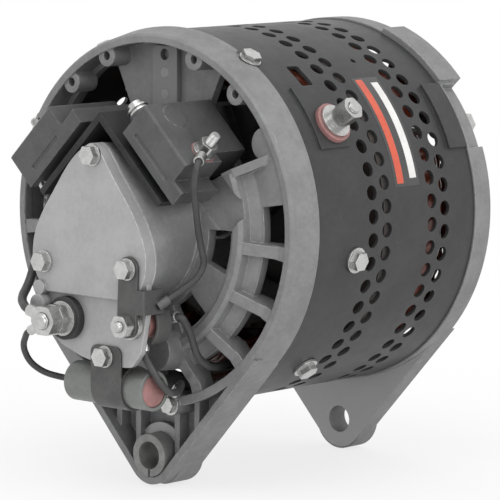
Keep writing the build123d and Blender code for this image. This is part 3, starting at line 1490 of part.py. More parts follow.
with BuildPart() as coil_bobbin:
    bobbin_rear = pole_rear_face + pole_disc + bobbin_gap
    bobbin_front = pole_front_face - pole_disc - bobbin_gap
    add(ring(bobbin_rear, bobbin_front, pole_core_radius + seat_clearance + bobbin_wall, pole_core_radius + seat_clearance))
    for start in (bobbin_rear, bobbin_front - bobbin_wall):
        add(ring(start, start + bobbin_wall, coil_radius + 2, pole_core_radius + seat_clearance))
coil_bobbin.part.label = "coil_bobbin"
export_step(coil_bobbin.part, "parts/coil_bobbin.step")

with BuildPart() as field_coil:
    add(ring(bobbin_rear + bobbin_wall + seat_clearance, bobbin_front - bobbin_wall - seat_clearance, coil_radius,
             pole_core_radius + bobbin_wall + 2 * seat_clearance))
field_coil.part.label = "field_coil"
export_step(field_coil.part, "parts/field_coil.step")

# Fans on both sides of the poles
for name, face, way in (("fan_rear", pole_rear_face, -1), ("fan_front", pole_front_face, 1)):
    with BuildPart() as fan:
        with BuildSketch(across(face)):
            Circle(fan_radius)
            Circle(rotor_seat_radius + seat_clearance, mode=Mode.SUBTRACT)
        extrude(amount=way * fan_disc)
        with BuildSketch(across(face + way * fan_disc)):
            with PolarLocations((fan_hub_radius + fan_radius) / 2 - 1, fan_blade_count):
                Rectangle((fan_radius - fan_hub_radius) / cos(radians(fan_blade_sweep)) - 4, fan_blade_thickness,
                          rotation=way * fan_blade_sweep)
        extrude(amount=way * fan_blade_height)
    fan.part.label = name
    export_step(fan.part, f"parts/{name}.step")

# Slip rings on their insulating hub
with BuildPart() as slip_ring_hub:
    half = slip_ring_width / 2 + seat_clearance
    outer_place, inner_place = slip_ring_places
    add(ring(slip_hub_rear, rear_face - 9, slip_ring_bore, rear_bearing_bore + seat_clearance))
    add(ring(rear_face - 9, rear_bearing_rear, slip_hub_neck, rear_bearing_bore + seat_clearance))
    for start, end in ((slip_hub_rear, outer_place - half), (outer_place + half, inner_place - half),
                       (inner_place + half, inner_place + half + slip_hub_flange)):
        add(ring(start, end, slip_ring_bore + slip_hub_flange, rear_bearing_bore + seat_clearance))
slip_ring_hub.part.label = "slip_ring_hub"
export_step(slip_ring_hub.part, "parts/slip_ring_hub.step")

with BuildPart() as slip_rings:
    for place in slip_ring_places:
        add(ring(place - slip_ring_width / 2, place + slip_ring_width / 2, slip_ring_radius,
                 slip_ring_bore + seat_clearance))
slip_rings.part.label = "slip_rings"
export_step(slip_rings.part, "parts/slip_rings.step")

# Brush holder, brushes and springs
with BuildPart() as brush_holder:
    holder_top = brush_chamber_top - 0.2
    holder_rear = tower_front + holder_gap
    holder_front = brush_chamber_back - holder_gap
    with BuildSketch(across(holder_rear)):
        with Locations((0, (holder_top + holder_bottom) / 2)):
            Rectangle(2 * (brush_chamber_side - holder_gap), holder_top - holder_bottom)
    extrude(amount=holder_front - holder_rear)
    with BuildSketch(Plane.XY.offset(brush_well_floor)):
        with Locations(*[(x, 0) for x in slip_ring_places]):
            Rectangle(brush_along + 2 * guide_clearance, brush_across + 2 * guide_clearance)
    extrude(amount=holder_top - brush_well_floor, mode=Mode.SUBTRACT)
brush_holder.part.label = "brush_holder"
export_step(brush_holder.part, "parts/brush_holder.step")

brush_tip = -(slip_ring_radius + brush_gap)
brush_bottom = brush_tip - brush_length
for name, place in zip(("outer", "inner"), slip_ring_places):
    with BuildPart() as brush:
        with BuildSketch(Plane.XY.offset(brush_bottom)):
            with Locations((place, 0)):
                Rectangle(brush_along, brush_across)
        extrude(amount=brush_length + 1.0)
        add(ring(place - brush_along, place + brush_along, slip_ring_radius + brush_gap, 0), mode=Mode.SUBTRACT)
    brush.part.label = f"brush_{name}"
    export_step(brush.part, f"parts/brush_{name}.step")
    with BuildPart() as brush_spring:
        spring_length = brush_bottom - brush_well_floor - 2 * spring_wire - 0.1
        with BuildLine():
            Helix(spring_length / spring_turns, spring_length, spring_radius,
                  center=(place, 0, brush_well_floor + spring_wire + 0.05))
        with BuildSketch(Plane(origin=(place + spring_radius, 0, brush_well_floor + spring_wire + 0.05),
                               z_dir=(0, 1, 0.2))):
            Circle(spring_wire)
        sweep(is_frenet=True)
    brush_spring.part.label = f"brush_spring_{name}"
    export_step(brush_spring.part, f"parts/brush_spring_{name}.step")

# Ground screw on the rim
with BuildPart() as ground_screw:
    add(screw(behind(ground_boss_front - lug_thickness, ground_spot), ground_screw_radius,
              ground_screw_length + lug_thickness, ground_screw_flats, ground_screw_head))
ground_screw.part.label = "ground_screw"
export_step(ground_screw.part, "parts/ground_screw.step")

# Ring lugs on the studs and screws, each facing the lead that it holds
output_lug = Plane(origin=(output_lug_seat, *output_spot), x_dir=(0, 0.97, 0.25), z_dir=(-1, 0, 0))
capacitor_lug = Plane(origin=(output_lug_seat - lug_thickness, *output_spot), x_dir=(0, 0.9, -0.43), z_dir=(-1, 0, 0))
sink_end_lug = Plane(origin=lower_base, x_dir=(-0.1, -0.7, -0.7), z_dir=(0, 1, -1))
sink_lug = Plane(origin=stud_base.offset(sink_washer).origin, x_dir=(-0.826, -0.399, -0.399), z_dir=(0, -1, 1))
ground_lug = Plane(origin=(relay_lug_seat, *relay_spot), x_dir=(0, -0.15, -0.99), z_dir=(1, 0, 0))
phase_lug = Plane(origin=(phase_lug_seat, *relay_spot), x_dir=(0, -0.97, 0.25), z_dir=(1, 0, 0))
rim_lug = Plane(origin=(ground_boss_front, *ground_spot), x_dir=(0, -0.6, 0.8), z_dir=(-1, 0, 0))
with BuildPart() as ring_terminals:
    add(ring_terminal(output_lug, output_stud_radius + seat_clearance, 7.0, output_lead_radius))
    add(ring_terminal(capacitor_lug, output_stud_radius + seat_clearance, 7.0, thin_lead_radius))
    add(ring_terminal(sink_end_lug, sink_screw_radius + seat_clearance, 4.5, output_lead_radius))
    add(ring_terminal(sink_lug, sink_stud_radius + seat_clearance, 5.5, lead_radius))
    add(ring_terminal(ground_lug, relay_hole, 5.5, lead_radius))
    add(ring_terminal(phase_lug, relay_hole, 5.5, lead_radius))
    add(ring_terminal(rim_lug, ground_screw_radius + seat_clearance, 5.0, lead_radius))
ring_terminals.part.label = "ring_terminals"
export_step(ring_terminals.part, "parts/ring_terminals.step")


def at(x, y, z):
    """A point whose x is counted from the rear face."""
    return (rear_face + x, y, z)


# Leads: each list runs from one terminal to the other
with BuildPart() as output_lead:
    add(lead([
        *terminal_start(sink_end_lug, 4.5, output_lead_radius), at(-27, 42, -2), at(-31, 43, -17),
        at(-37, 42, -29), at(-45, 39.5, -35.5), *reversed(terminal_start(output_lug, 7.0, output_lead_radius)),
    ], output_lead_radius))
output_lead.part.label = "output_lead"
export_step(output_lead.part, "parts/output_lead.step")

with BuildPart() as capacitor_lead:
    add(lead([
        *terminal_start(capacitor_lug, 7.0, thin_lead_radius), at(-47, 36.5, -57), at(-42, 37, -65),
        at(-35, 34.5, -70.5), at(-28.7, 28, -capacitor_drop), at(-28.7, capacitor_left - 3.5, -capacitor_drop),
    ], thin_lead_radius))
capacitor_lead.part.label = "capacitor_lead"
export_step(capacitor_lead.part, "parts/capacitor_lead.step")

with BuildPart() as sink_lead:
    crimp_start = crimp.from_local_coords((0, 0, 0.5))
    crimp_run = crimp.from_local_coords((0, 0, 9.0))
    add(lead([
        *terminal_start(sink_lug, 5.5, lead_radius), at(-31.5, -56, 24), at(-28, -54, 12), at(-22, -50.5, -2),
        at(-17, -49.5, -14), at(-19.5, -47, -21), tuple(crimp_run), tuple(crimp_start),
    ], thin_lead_radius))
sink_lead.part.label = "sink_lead"
export_step(sink_lead.part, "parts/sink_lead.step")

with BuildPart() as phase_lead:
    add(lead([
        *terminal_start(phase_lug, 5.5, lead_radius), at(-17, -40, -45), at(-9, -38, -59), at(-1, -38.8, -64.5),
        at(10, -38.8, -65), at(30, -36, -62.5), at(49.8, -34.6, -61.5),
    ], lead_radius))
phase_lead.part.label = "phase_lead"
export_step(phase_lead.part, "parts/phase_lead.step")

with BuildPart() as ground_lead:
    add(lead([
        *terminal_start(ground_lug, 5.5, lead_radius), at(-31.8, -30.6, -62), at(-29, -32.9, -68.5),
        at(-22, -32.8, -74.5), at(-11, -28.8, -75), *reversed(terminal_start(rim_lug, 5.0, lead_radius)),
    ], lead_radius))
ground_lead.part.label = "ground_lead"
export_step(ground_lead.part, "parts/ground_lead.step")
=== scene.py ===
"""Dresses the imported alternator: studio, finishes, coils, heat sinks, threaded studs and label bands."""

import json
import logging
import math
from dataclasses import dataclass
from enum import Enum
from typing import Any, Optional, Union

import bpy
import numpy as np
from mathutils import Matrix, Vector

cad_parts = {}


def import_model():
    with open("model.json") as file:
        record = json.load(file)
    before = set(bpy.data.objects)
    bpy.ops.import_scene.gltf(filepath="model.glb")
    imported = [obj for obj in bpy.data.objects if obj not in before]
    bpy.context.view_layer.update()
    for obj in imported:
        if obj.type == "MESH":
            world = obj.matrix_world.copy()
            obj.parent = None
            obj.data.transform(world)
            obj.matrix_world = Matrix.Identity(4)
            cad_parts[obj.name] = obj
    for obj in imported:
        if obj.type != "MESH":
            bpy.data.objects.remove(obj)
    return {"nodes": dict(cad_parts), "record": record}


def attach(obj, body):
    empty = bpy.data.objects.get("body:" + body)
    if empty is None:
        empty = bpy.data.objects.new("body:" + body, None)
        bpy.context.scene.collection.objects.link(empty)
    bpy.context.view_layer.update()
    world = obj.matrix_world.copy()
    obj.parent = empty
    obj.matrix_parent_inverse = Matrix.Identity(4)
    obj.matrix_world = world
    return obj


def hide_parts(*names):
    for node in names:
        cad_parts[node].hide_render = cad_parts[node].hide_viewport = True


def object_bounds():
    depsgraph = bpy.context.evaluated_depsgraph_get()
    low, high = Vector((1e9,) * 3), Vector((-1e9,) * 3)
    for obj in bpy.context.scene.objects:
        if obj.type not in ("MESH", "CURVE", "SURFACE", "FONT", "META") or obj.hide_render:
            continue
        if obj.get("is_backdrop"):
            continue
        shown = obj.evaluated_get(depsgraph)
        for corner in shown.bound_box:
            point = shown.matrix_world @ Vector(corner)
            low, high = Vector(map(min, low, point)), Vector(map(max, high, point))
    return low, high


LOG = logging.getLogger("alternator")
SHAFT = np.array((1.0, 0.0, 0.0))
ROOT_HALF = math.sqrt(0.5)
FLOOR_GAP = 0.0004

Colour = tuple[float, float, float]
Point = tuple[float, float, float]
Number = Union["Value", float]


class Value:
    """A number that varies over a surface: a shader socket that takes part in plain arithmetic."""

    def __init__(self, bench: "Bench", socket: bpy.types.NodeSocket) -> None:
        """Wraps one output socket of the bench's tree."""
        self.bench = bench
        self.socket = socket

    def __add__(self, other: Number) -> "Value":
        """Sum."""
        return self.bench.math("ADD", self, other)

    __radd__ = __add__

    def __sub__(self, other: Number) -> "Value":
        """Difference."""
        return self.bench.math("SUBTRACT", self, other)

    def __rsub__(self, other: Number) -> "Value":
        """Difference, with this value taken away."""
        return self.bench.math("SUBTRACT", other, self)

    def __mul__(self, other: Number) -> "Value":
        """Product."""
        return self.bench.math("MULTIPLY", self, other)

    __rmul__ = __mul__

    def __pow__(self, other: Number) -> "Value":
        """Power."""
        return self.bench.math("POWER", self, other)

    def sine(self) -> "Value":
        """Sine of the value in radians."""
        return self.bench.math("SINE", self)

    def size(self) -> "Value":
        """Value without its sign."""
        return self.bench.math("ABSOLUTE", self)

    def below(self, limit: Number) -> "Value":
        """One where the value is under the limit, nought elsewhere."""
        return self.bench.math("LESS_THAN", self, limit)

    def above(self, limit: Number) -> "Value":
        """One where the value is over the limit, nought elsewhere."""
        return self.bench.math("GREATER_THAN", self, limit)

    def rise(self, start: float, end: float) -> "Value":
        """Nought at start and one at end, with a smooth rise between them.

        Args:
            start: Where the rise begins.
            end: Where it is complete; below start it is a fall.

        Returns:
            The share, held between nought and one.
        """
        node = self.bench.node(
            "ShaderNodeMapRange", {"interpolation_type": "SMOOTHSTEP"},
            {"Value": self, "From Min": start, "From Max": end, "To Min": 0.0, "To Max": 1.0},
        )
        return Value(self.bench, node.outputs[0])


class Bench:
    """The node tree of one material, with one way to make each of its nodes."""

    def __init__(self, name: str) -> None:
        """Opens an empty material of that name."""
        self.material = bpy.data.materials.new(name)
        self.material.use_nodes = True
        self.tree = self.material.node_tree
        self.tree.nodes.clear()
        self._place: Optional[bpy.types.NodeSocket] = None
        self._axes: Optional[tuple[Value, Value, Value]] = None

    def node(self, kind: str, settings: Optional[dict[str, Any]] = None,
             values: Optional[dict[Union[str, int], Any]] = None) -> bpy.types.Node:
        """Makes a node, sets it, and then fills or links its sockets.

        Args:
            kind: Node type.
            settings: Properties of the node.
            values: Socket name, identifier or number, with a number, a colour or a link.

        Returns:
            The new node.
        """
        made = self.tree.nodes.new(kind)
        for key, setting in (settings or {}).items():
            setattr(made, key, setting)
        for key, value in (values or {}).items():
            socket = made.inputs[key] if isinstance(key, int) else next(
                s for s in made.inputs if key in (s.identifier, s.name))
            source = value.socket if isinstance(value, Value) else value
            if isinstance(source, bpy.types.NodeSocket):
                self.tree.links.new(source, socket)
            elif socket.type == "RGBA":
                socket.default_value = (*source, 1.0)
            else:
                socket.default_value = source
        return made

    def math(self, operation: str, *terms: Number) -> Value:
        """One Math node on the given terms."""
        node = self.node("ShaderNodeMath", {"operation": operation}, dict(enumerate(terms)))
        return Value(self, node.outputs[0])

    def place(self) -> bpy.types.NodeSocket:
        """Object coordinates, in metres."""
        if self._place is None:
            self._place = self.node("ShaderNodeTexCoord").outputs["Object"]
        return self._place

    def axes(self) -> tuple[Value, Value, Value]:
        """Object coordinates as three values: along the shaft, to the left, and up."""
        if self._axes is None:
            split = self.node("ShaderNodeSeparateXYZ", None, {"Vector": self.place()})
            x, y, z = (Value(self, out) for out in split.outputs)
            self._axes = (x, y, z)
        return self._axes

    def turned(self) -> tuple[Value, Value]:
        """Distance from the shaft's axis and angle about it, in radians."""
        _, y, z = self.axes()
        return (y * y + z * z) ** 0.5, self.math("ARCTAN2", z, 0.0 - y)

    def noise(self, scale: float, detail: float = 3.0, rough: float = 0.55,
              stretch: Point = (1.0, 1.0, 1.0), twist: float = 0.0) -> Value:
        """Noise between nought and one over object coordinates.

        Args:
            scale: Features per metre.
            detail: Octaves.
            rough: Share of the finer octaves.
            stretch: Scale along each axis.
            twist: Distortion.

        Returns:
            The noise value.
        """
        where = self.place()
        if stretch != (1.0, 1.0, 1.0):
            where = self.node("ShaderNodeMapping", None, {"Vector": where, "Scale": stretch}).outputs[0]
        node = self.node("ShaderNodeTexNoise", None, {
            "Vector": where, "Scale": scale, "Detail": detail, "Roughness": rough, "Distortion": twist})
        return Value(self, node.outputs[0])

    def cells(self, scale: float) -> Value:
        """Distance to the nearest of many scattered points, as pores and pits need."""
        node = self.node("ShaderNodeTexVoronoi", {"feature": "F1"}, {"Vector": self.place(), "Scale": scale})
        return Value(self, node.outputs["Distance"])

    def edges(self, radius: float) -> Value:
        """Share of an edge: one minus the dot product of the rounded and the true normal, made steep."""
        soft = self.node("ShaderNodeBevel", {"samples": 6}, {"Radius": radius}).outputs[0]
        hard = self.node("ShaderNodeNewGeometry").outputs["True Normal"]
        dot = self.node("ShaderNodeVectorMath", {"operation": "DOT_PRODUCT"}, {0: soft, 1: hard})
        return (1.0 - Value(self, dot.outputs["Value"])).rise(0.02, 0.22)

    def hollows(self, reach: float) -> Value:
        """Share of a hollow: how much of the half sphere above the point is covered within reach."""
        node = self.node("ShaderNodeAmbientOcclusion", {"samples": 6}, {"Distance": reach})
        return 1.0 - Value(self, node.outputs["AO"])

    def mix(self, share: Number, first: Any, second: Any) -> bpy.types.NodeSocket:
        """Colour between first, at share nought, and second, at share one."""
        node = self.node("ShaderNodeMix", {"data_type": "RGBA", "clamp_factor": True},
                         {"Factor_Float": share, "A_Color": first, "B_Color": second})
        return next(s for s in node.outputs if s.identifier == "Result_Color")

    def bump(self, height: Value, depth: float, rounded: Optional[float] = None) -> bpy.types.NodeSocket:
        """Normal of a relief of that depth in metres, over edges rounded by that radius."""
        values: dict[Union[str, int], Any] = {"Strength": 1.0, "Distance": depth, "Height": height}
        if rounded:
            values["Normal"] = self.node("ShaderNodeBevel", {"samples": 6}, {"Radius": rounded}).outputs[0]
        return self.node("ShaderNodeBump", None, values).outputs[0]

    def finish(self, surface: bpy.types.Node) -> bpy.types.Material:
        """Joins the surface shader to the output and hands back the material."""
        out = self.node("ShaderNodeOutputMaterial")
        self.tree.links.new(surface.outputs[0], out.inputs["Surface"])
        return self.material


@dataclass(frozen=True)
class Finish:
    """A surface: two mixed tones, worn edges, painted shade in hollows, and a fine relief."""

    name: str
    tone: Colour
    second: Colour
    worn: Colour
    metallic: float = 0.0
    roughness: float = 0.5
    spread: float = 0.12
    patches: float = 70.0
    grain: float = 1300.0
    depth: float = 0.00004
    rounding: float = 0.0005
    wear: float = 0.5
    # Strength of the painted shade in hollows
    hollow_shade: float = 0.45
    reach: float = 0.006
    coat: float = 0.0
    coat_roughness: float = 0.18
    shine: float = 0.5
    worn_patches: float = 420.0
    # Share of the tone that the painted shade in hollows darkens to
    hollow_shade_tone: float = 0.22

    def pattern(self, bench: Bench) -> Value:
        """Share of the second tone: slow patches broken up by finer ones."""
        slow = bench.noise(self.patches, 4.0, 0.6)
        fine = bench.noise(self.patches * 7.0, 3.0, 0.6)
        return (slow * 0.65 + fine * 0.35).rise(0.36, 0.64)

    def relief(self, bench: Bench) -> Value:
        """Height of the surface, nought to one: grain with a slower swell under it."""
        return bench.noise(self.grain, 3.0, 0.6) * 0.6 + bench.noise(self.grain / 6.0, 2.0) * 0.4

    def colour(self, bench: Bench) -> bpy.types.NodeSocket:
        """Tone before wear and grime."""
        return bench.mix(self.pattern(bench), self.tone, self.second)

    def gloss(self, bench: Bench) -> Value:
        """Roughness before wear and grime."""
        return bench.noise(self.patches * 3.0, 3.0) * (2.0 * self.spread) + (self.roughness - self.spread)

    def metalness(self, bench: Bench) -> Number:
        """How metallic the surface is."""
        return self.metallic

    def material(self) -> bpy.types.Material:
        """Builds the material.

        Returns:
            A material of one Principled shader.
        """
        bench = Bench(self.name)
        edge = bench.edges(self.rounding) * bench.noise(self.worn_patches, 2.0).rise(0.30, 0.62) * self.wear
        # Painted shade in hollows: where the AO node finds cover the colour darkens towards a fraction of the
        # tone, and grows a little rougher
        shade_share = bench.hollows(self.reach).rise(0.15, 0.95) * self.hollow_shade
        colour = bench.mix(edge, self.colour(bench), self.worn)
        colour = bench.mix(shade_share, colour, tuple(self.hollow_shade_tone * c for c in self.tone))
        rough = self.gloss(bench) + shade_share * 0.25 - edge * 0.12
        shader = bench.node("ShaderNodeBsdfPrincipled", None, {
            "Base Color": colour, "Roughness": rough, "Metallic": self.metalness(bench),
            "Normal": bench.bump(self.relief(bench), self.depth, self.rounding),
        })
        shader.inputs["Specular IOR Level"].default_value = self.shine
        if self.coat:
            shader.inputs["Coat Weight"].default_value = self.coat
            shader.inputs["Coat Roughness"].default_value = self.coat_roughness
        return bench.finish(shader)


@dataclass(frozen=True)
class Casting(Finish):
    """Sand-cast metal, smooth and bright where a face across the shaft was machined."""

    machined: tuple[float, ...] = ()
    machined_reach: float = 0.0002
    machined_facing: float = 0.95

    def cut(self, bench: Bench) -> Value:
        """Share of a machined face: at one of the stations, and facing along the shaft."""
        x, _, _ = bench.axes()
        normal = bench.node("ShaderNodeSeparateXYZ", None, {
            "Vector": bench.node("ShaderNodeNewGeometry").outputs["True Normal"]})
        facing = Value(bench, normal.outputs[0]).size().above(self.machined_facing)
        share: Number = 0.0
        for station in self.machined:
            share = share + (x - station).size().below(self.machined_reach)
        return facing * share

    def relief(self, bench: Bench) -> Value:
        """Grain and pits of the mould, flat with fine rings on machined faces."""
        radius, _ = bench.turned()
        pits = bench.cells(900.0).rise(0.05, 0.45)
        swell = bench.noise(self.grain / 5.0, 2.0)
        rough = bench.noise(self.grain, 4.0, 0.7) * 0.5 + swell * 0.25 + pits * 0.25
        rings = (radius * 9000.0).sine() * 0.04 + 0.5
        cut = self.cut(bench)
        return rough * (1.0 - cut) + rings * cut

    def colour(self, bench: Bench) -> bpy.types.NodeSocket:
        """Mould tones, brighter where machined."""
        return bench.mix(self.cut(bench) * 0.7, super().colour(bench), self.worn)


@dataclass(frozen=True)
class Footed(Finish):
    """A finish that gives way to bare cast metal on a foot above a height and in front of a station."""

    foot_tone: Colour = (0.225, 0.225, 0.228)
    foot_height: float = 0.053
    foot_station: float = -0.1445
    foot_metallic: float = 0.25

    def foot(self, bench: Bench) -> Value:
        """One on the foot, nought elsewhere."""
        x, _, z = bench.axes()
        return z.above(self.foot_height) * x.above(self.foot_station)

    def colour(self, bench: Bench) -> bpy.types.NodeSocket:
        """The finish's own tones, and cast metal on the foot."""
        return bench.mix(self.foot(bench), super().colour(bench), self.foot_tone)

    def metalness(self, bench: Bench) -> Number:
        """The finish's own share of metal, and the casting's on the foot."""
        return self.foot(bench) * (self.foot_metallic - self.metallic) + self.metallic


@dataclass(frozen=True)
class Turned(Finish):
    """Turned or ground steel, with fine rings about the shaft and a thread at its end."""

    pitch: float = 0.0002
    thread_from: Optional[float] = None
    thread_pitch: float = 0.0015

    def relief(self, bench: Bench) -> Value:
        """Rings at the tool's pitch; past the thread's start, a helix of the thread's pitch."""
        x, _, _ = bench.axes()
        rings = (x * (2 * math.pi / self.pitch)).sine() * 0.05 + bench.noise(self.grain, 2.0) * 0.1
        if self.thread_from is None:
            return rings
        _, angle = bench.turned()
        helix = (x * (2 * math.pi / self.thread_pitch) + angle).sine() * 4.0
        return rings + helix * x.above(self.thread_from)


@dataclass(frozen=True)
class Stacked(Finish):
    """Sheets stacked along the shaft, with a dark line between each pair."""

    sheet: float = 0.00065

    def lines(self, bench: Bench) -> Value:
        """One at the middle of a sheet, nought at its joints."""
        x, _, _ = bench.axes()
        return (x * (math.pi / self.sheet)).sine().size().rise(0.0, 0.5)

    def relief(self, bench: Bench) -> Value:
        """Grooves between the sheets."""
        return self.lines(bench) + super().relief(bench) * 0.2

    def colour(self, bench: Bench) -> bpy.types.NodeSocket:
        """Rust and steel tones, dark in the grooves."""
        return bench.mix(self.lines(bench), tuple(0.3 * c for c in self.tone), super().colour(bench))


@dataclass(frozen=True)
class Sprayed(Finish):
    """Satin paint on sheet steel, with scuffs along the shell and dust."""

    def relief(self, bench: Bench) -> Value:
        """Orange peel of the paint."""
        return bench.noise(900.0, 1.0) * 0.7 + bench.noise(260.0, 1.0) * 0.3

    def colour(self, bench: Bench) -> bpy.types.NodeSocket:
        """Black with soft dusty patches and thin pale scuffs."""
        scuff = bench.noise(160.0, 5.0, 0.7, (0.35, 1.0, 1.0), 0.6).rise(0.66, 0.74) * 0.35
        return bench.mix(scuff, super().colour(bench), self.worn)


class Surface(Enum):
    """The finishes: one for each material slot, and those of a few nodes and of the scene's own pieces."""

    CAST = Casting(
        "cast_housing", (0.235, 0.235, 0.238), (0.185, 0.185, 0.188), (0.46, 0.46, 0.46), metallic=0.2,
        roughness=0.55, depth=0.00009, rounding=0.0009, wear=0.75, hollow_shade=0.15, reach=0.007,
        machined=(-0.142, -0.129, -0.014, -0.0257))
    COVER = Casting(
        "cast_cover", (0.40, 0.398, 0.40), (0.345, 0.345, 0.347), (0.74, 0.74, 0.74), metallic=0.25,
        roughness=0.45, depth=0.00003, rounding=0.0007, wear=0.9, hollow_shade=0.4)
    GASKET = Finish(
        "gasket_board", (0.46, 0.455, 0.45), (0.30, 0.295, 0.29), (0.62, 0.62, 0.61), roughness=0.8,
        hollow_shade=0.2)
    ZINC = Finish(
        "zinc_plate", (0.60, 0.60, 0.59), (0.47, 0.47, 0.46), (0.85, 0.85, 0.84), metallic=0.95,
        roughness=0.30, patches=260.0, depth=0.00001, rounding=0.00035, wear=0.7, hollow_shade=0.55, reach=0.003)
    SHELL = Sprayed(
        "shell_paint", (0.032, 0.032, 0.033), (0.043, 0.043, 0.044), (0.15, 0.15, 0.15), roughness=0.45,
        spread=0.08, patches=45.0, depth=0.00002, rounding=0.0005, wear=0.45, hollow_shade=0.2, shine=0.36)
    RED = Finish("red_insulator", (0.36, 0.180, 0.170), (0.24, 0.120, 0.115), (0.50, 0.30, 0.28))
    BLACK = Finish(
        "moulded_black", (0.022, 0.022, 0.023), (0.034, 0.034, 0.035), (0.10, 0.10, 0.10), roughness=0.45)
    DARK = Finish(
        "dark_steel", (0.105, 0.104, 0.103), (0.078, 0.078, 0.078), (0.30, 0.30, 0.29), metallic=0.45,
        roughness=0.48, depth=0.00002)
    CAN = Finish(
        "capacitor_can", (0.215, 0.225, 0.212), (0.18, 0.188, 0.178), (0.42, 0.43, 0.42), metallic=0.5,
        roughness=0.4, depth=0.00001)
    SINK = Finish(
        "sink_paint", (0.058, 0.058, 0.059), (0.080, 0.080, 0.081), (0.25, 0.25, 0.25), depth=0.00005,
        rounding=0.0008, wear=0.7, hollow_shade=0.2)
    # Black paint of the sink bracket, darker than the sinks' own black paint: painted shade for the band
    # beside the right sink; bare cast tone on its foot
    SHADED_BRACKET = Footed(
        "bracket_paint_shaded", (0.026, 0.026, 0.027), (0.040, 0.040, 0.041), (0.12, 0.12, 0.12), roughness=0.6,
        rounding=0.0006, wear=0.6, hollow_shade=0.4, shine=0.2)
    FOOT_SCREW = Footed(
        "bracket_screw", (0.60, 0.60, 0.59), (0.47, 0.47, 0.46), (0.85, 0.85, 0.84), metallic=0.95,
        roughness=0.34, patches=260.0, depth=0.00001, rounding=0.00035, wear=0.7, hollow_shade=0.55, reach=0.003)
    BUSH = Finish(
        "bush_steel", (0.27, 0.268, 0.265), (0.19, 0.187, 0.184), (0.46, 0.455, 0.45), metallic=0.3,
        patches=160.0, hollow_shade=0.35, reach=0.004)
    RUBBER = Finish(
        "lead_sleeve", (0.034, 0.033, 0.034), (0.050, 0.049, 0.050), (0.12, 0.12, 0.12), depth=0.00003,
        coat=0.1)
    SHAFT = Turned(
        "shaft_steel", (0.50, 0.50, 0.50), (0.42, 0.41, 0.40), (0.75, 0.75, 0.75), metallic=1.0,
        roughness=0.28, depth=0.00003, thread_from=0.0312)
    STACK = Stacked(
        "sheet_stack", (0.060, 0.056, 0.054), (0.085, 0.070, 0.062), (0.16, 0.15, 0.145), metallic=0.3,
        roughness=0.55, depth=0.00008)
    COIL = Finish(
        "enamelled_wire", (0.21, 0.045, 0.022), (0.13, 0.026, 0.014), (0.36, 0.10, 0.05), metallic=0.2,
        roughness=0.32, depth=0.00001, coat=0.4)
    COPPER = Turned(
        "slip_ring_copper", (0.72, 0.34, 0.20), (0.60, 0.26, 0.15), (0.9, 0.5, 0.34), metallic=1.0,
        roughness=0.25, depth=0.00001)
    CARBON = Finish(
        "brush_carbon", (0.030, 0.030, 0.031), (0.050, 0.049, 0.048), (0.12, 0.12, 0.12), metallic=0.3,
        roughness=0.6)
    SPRING = Finish(
        "spring_wire", (0.36, 0.36, 0.37), (0.28, 0.28, 0.29), (0.6, 0.6, 0.6), metallic=0.9,
        roughness=0.35, depth=0.000005)
    BEARING = Turned(
        "bearing_steel", (0.58, 0.58, 0.59), (0.50, 0.50, 0.51), (0.8, 0.8, 0.8), metallic=1.0,
        roughness=0.18, spread=0.06, depth=0.00001)
    FILM = Finish(
        "label_film", (0.030, 0.030, 0.031), (0.040, 0.040, 0.041), (0.14, 0.14, 0.14), roughness=0.3,
        depth=0.000005, hollow_shade=0.1, coat=0.3)
    ORANGE = Finish(
        "label_orange", (0.62, 0.085, 0.035), (0.52, 0.065, 0.028), (0.75, 0.25, 0.16), roughness=0.35,
        depth=0.000005, wear=0.6, hollow_shade=0.15, coat=0.3)
    WHITE = Finish(
        "label_white", (0.76, 0.75, 0.73), (0.66, 0.65, 0.63), (0.5, 0.5, 0.5), roughness=0.35,
        depth=0.000005, wear=0.4, hollow_shade=0.15, coat=0.3)


SLOTS: dict[str, Surface] = {
    "cast_grey": Surface.CAST, "cover_grey": Surface.COVER, "gasket": Surface.GASKET, "zinc": Surface.ZINC,
    "shell_black": Surface.SHELL, "insulator_red": Surface.RED, "insulator_black": Surface.BLACK,
    "dark_steel": Surface.DARK, "capacitor_grey": Surface.CAN, "sink_black": Surface.SINK,
    "lead_black": Surface.RUBBER, "shaft_steel": Surface.SHAFT, "lamination": Surface.STACK,
    "winding": Surface.COIL, "copper": Surface.COPPER, "carbon": Surface.CARBON,
    "spring_steel": Surface.SPRING, "bearing_steel": Surface.BEARING,
}

# Nodes that look different from the rest of their slot; the sink bracket's black is darkened as painted shade
OWN: dict[str, Surface] = {
    "sink_bracket": Surface.SHADED_BRACKET, "bracket_screws": Surface.FOOT_SCREW, "lug_bush": Surface.BUSH,
}


class Rack:
    """Keeps one material for each finish."""

    def __init__(self) -> None:
        """Starts empty."""
        self.made: dict[Finish, bpy.types.Material] = {}

    def take(self, finish: Finish) -> bpy.types.Material:
        """The material of a finish, built on first use."""
        if finish not in self.made:
            self.made[finish] = finish.material()
        return self.made[finish]


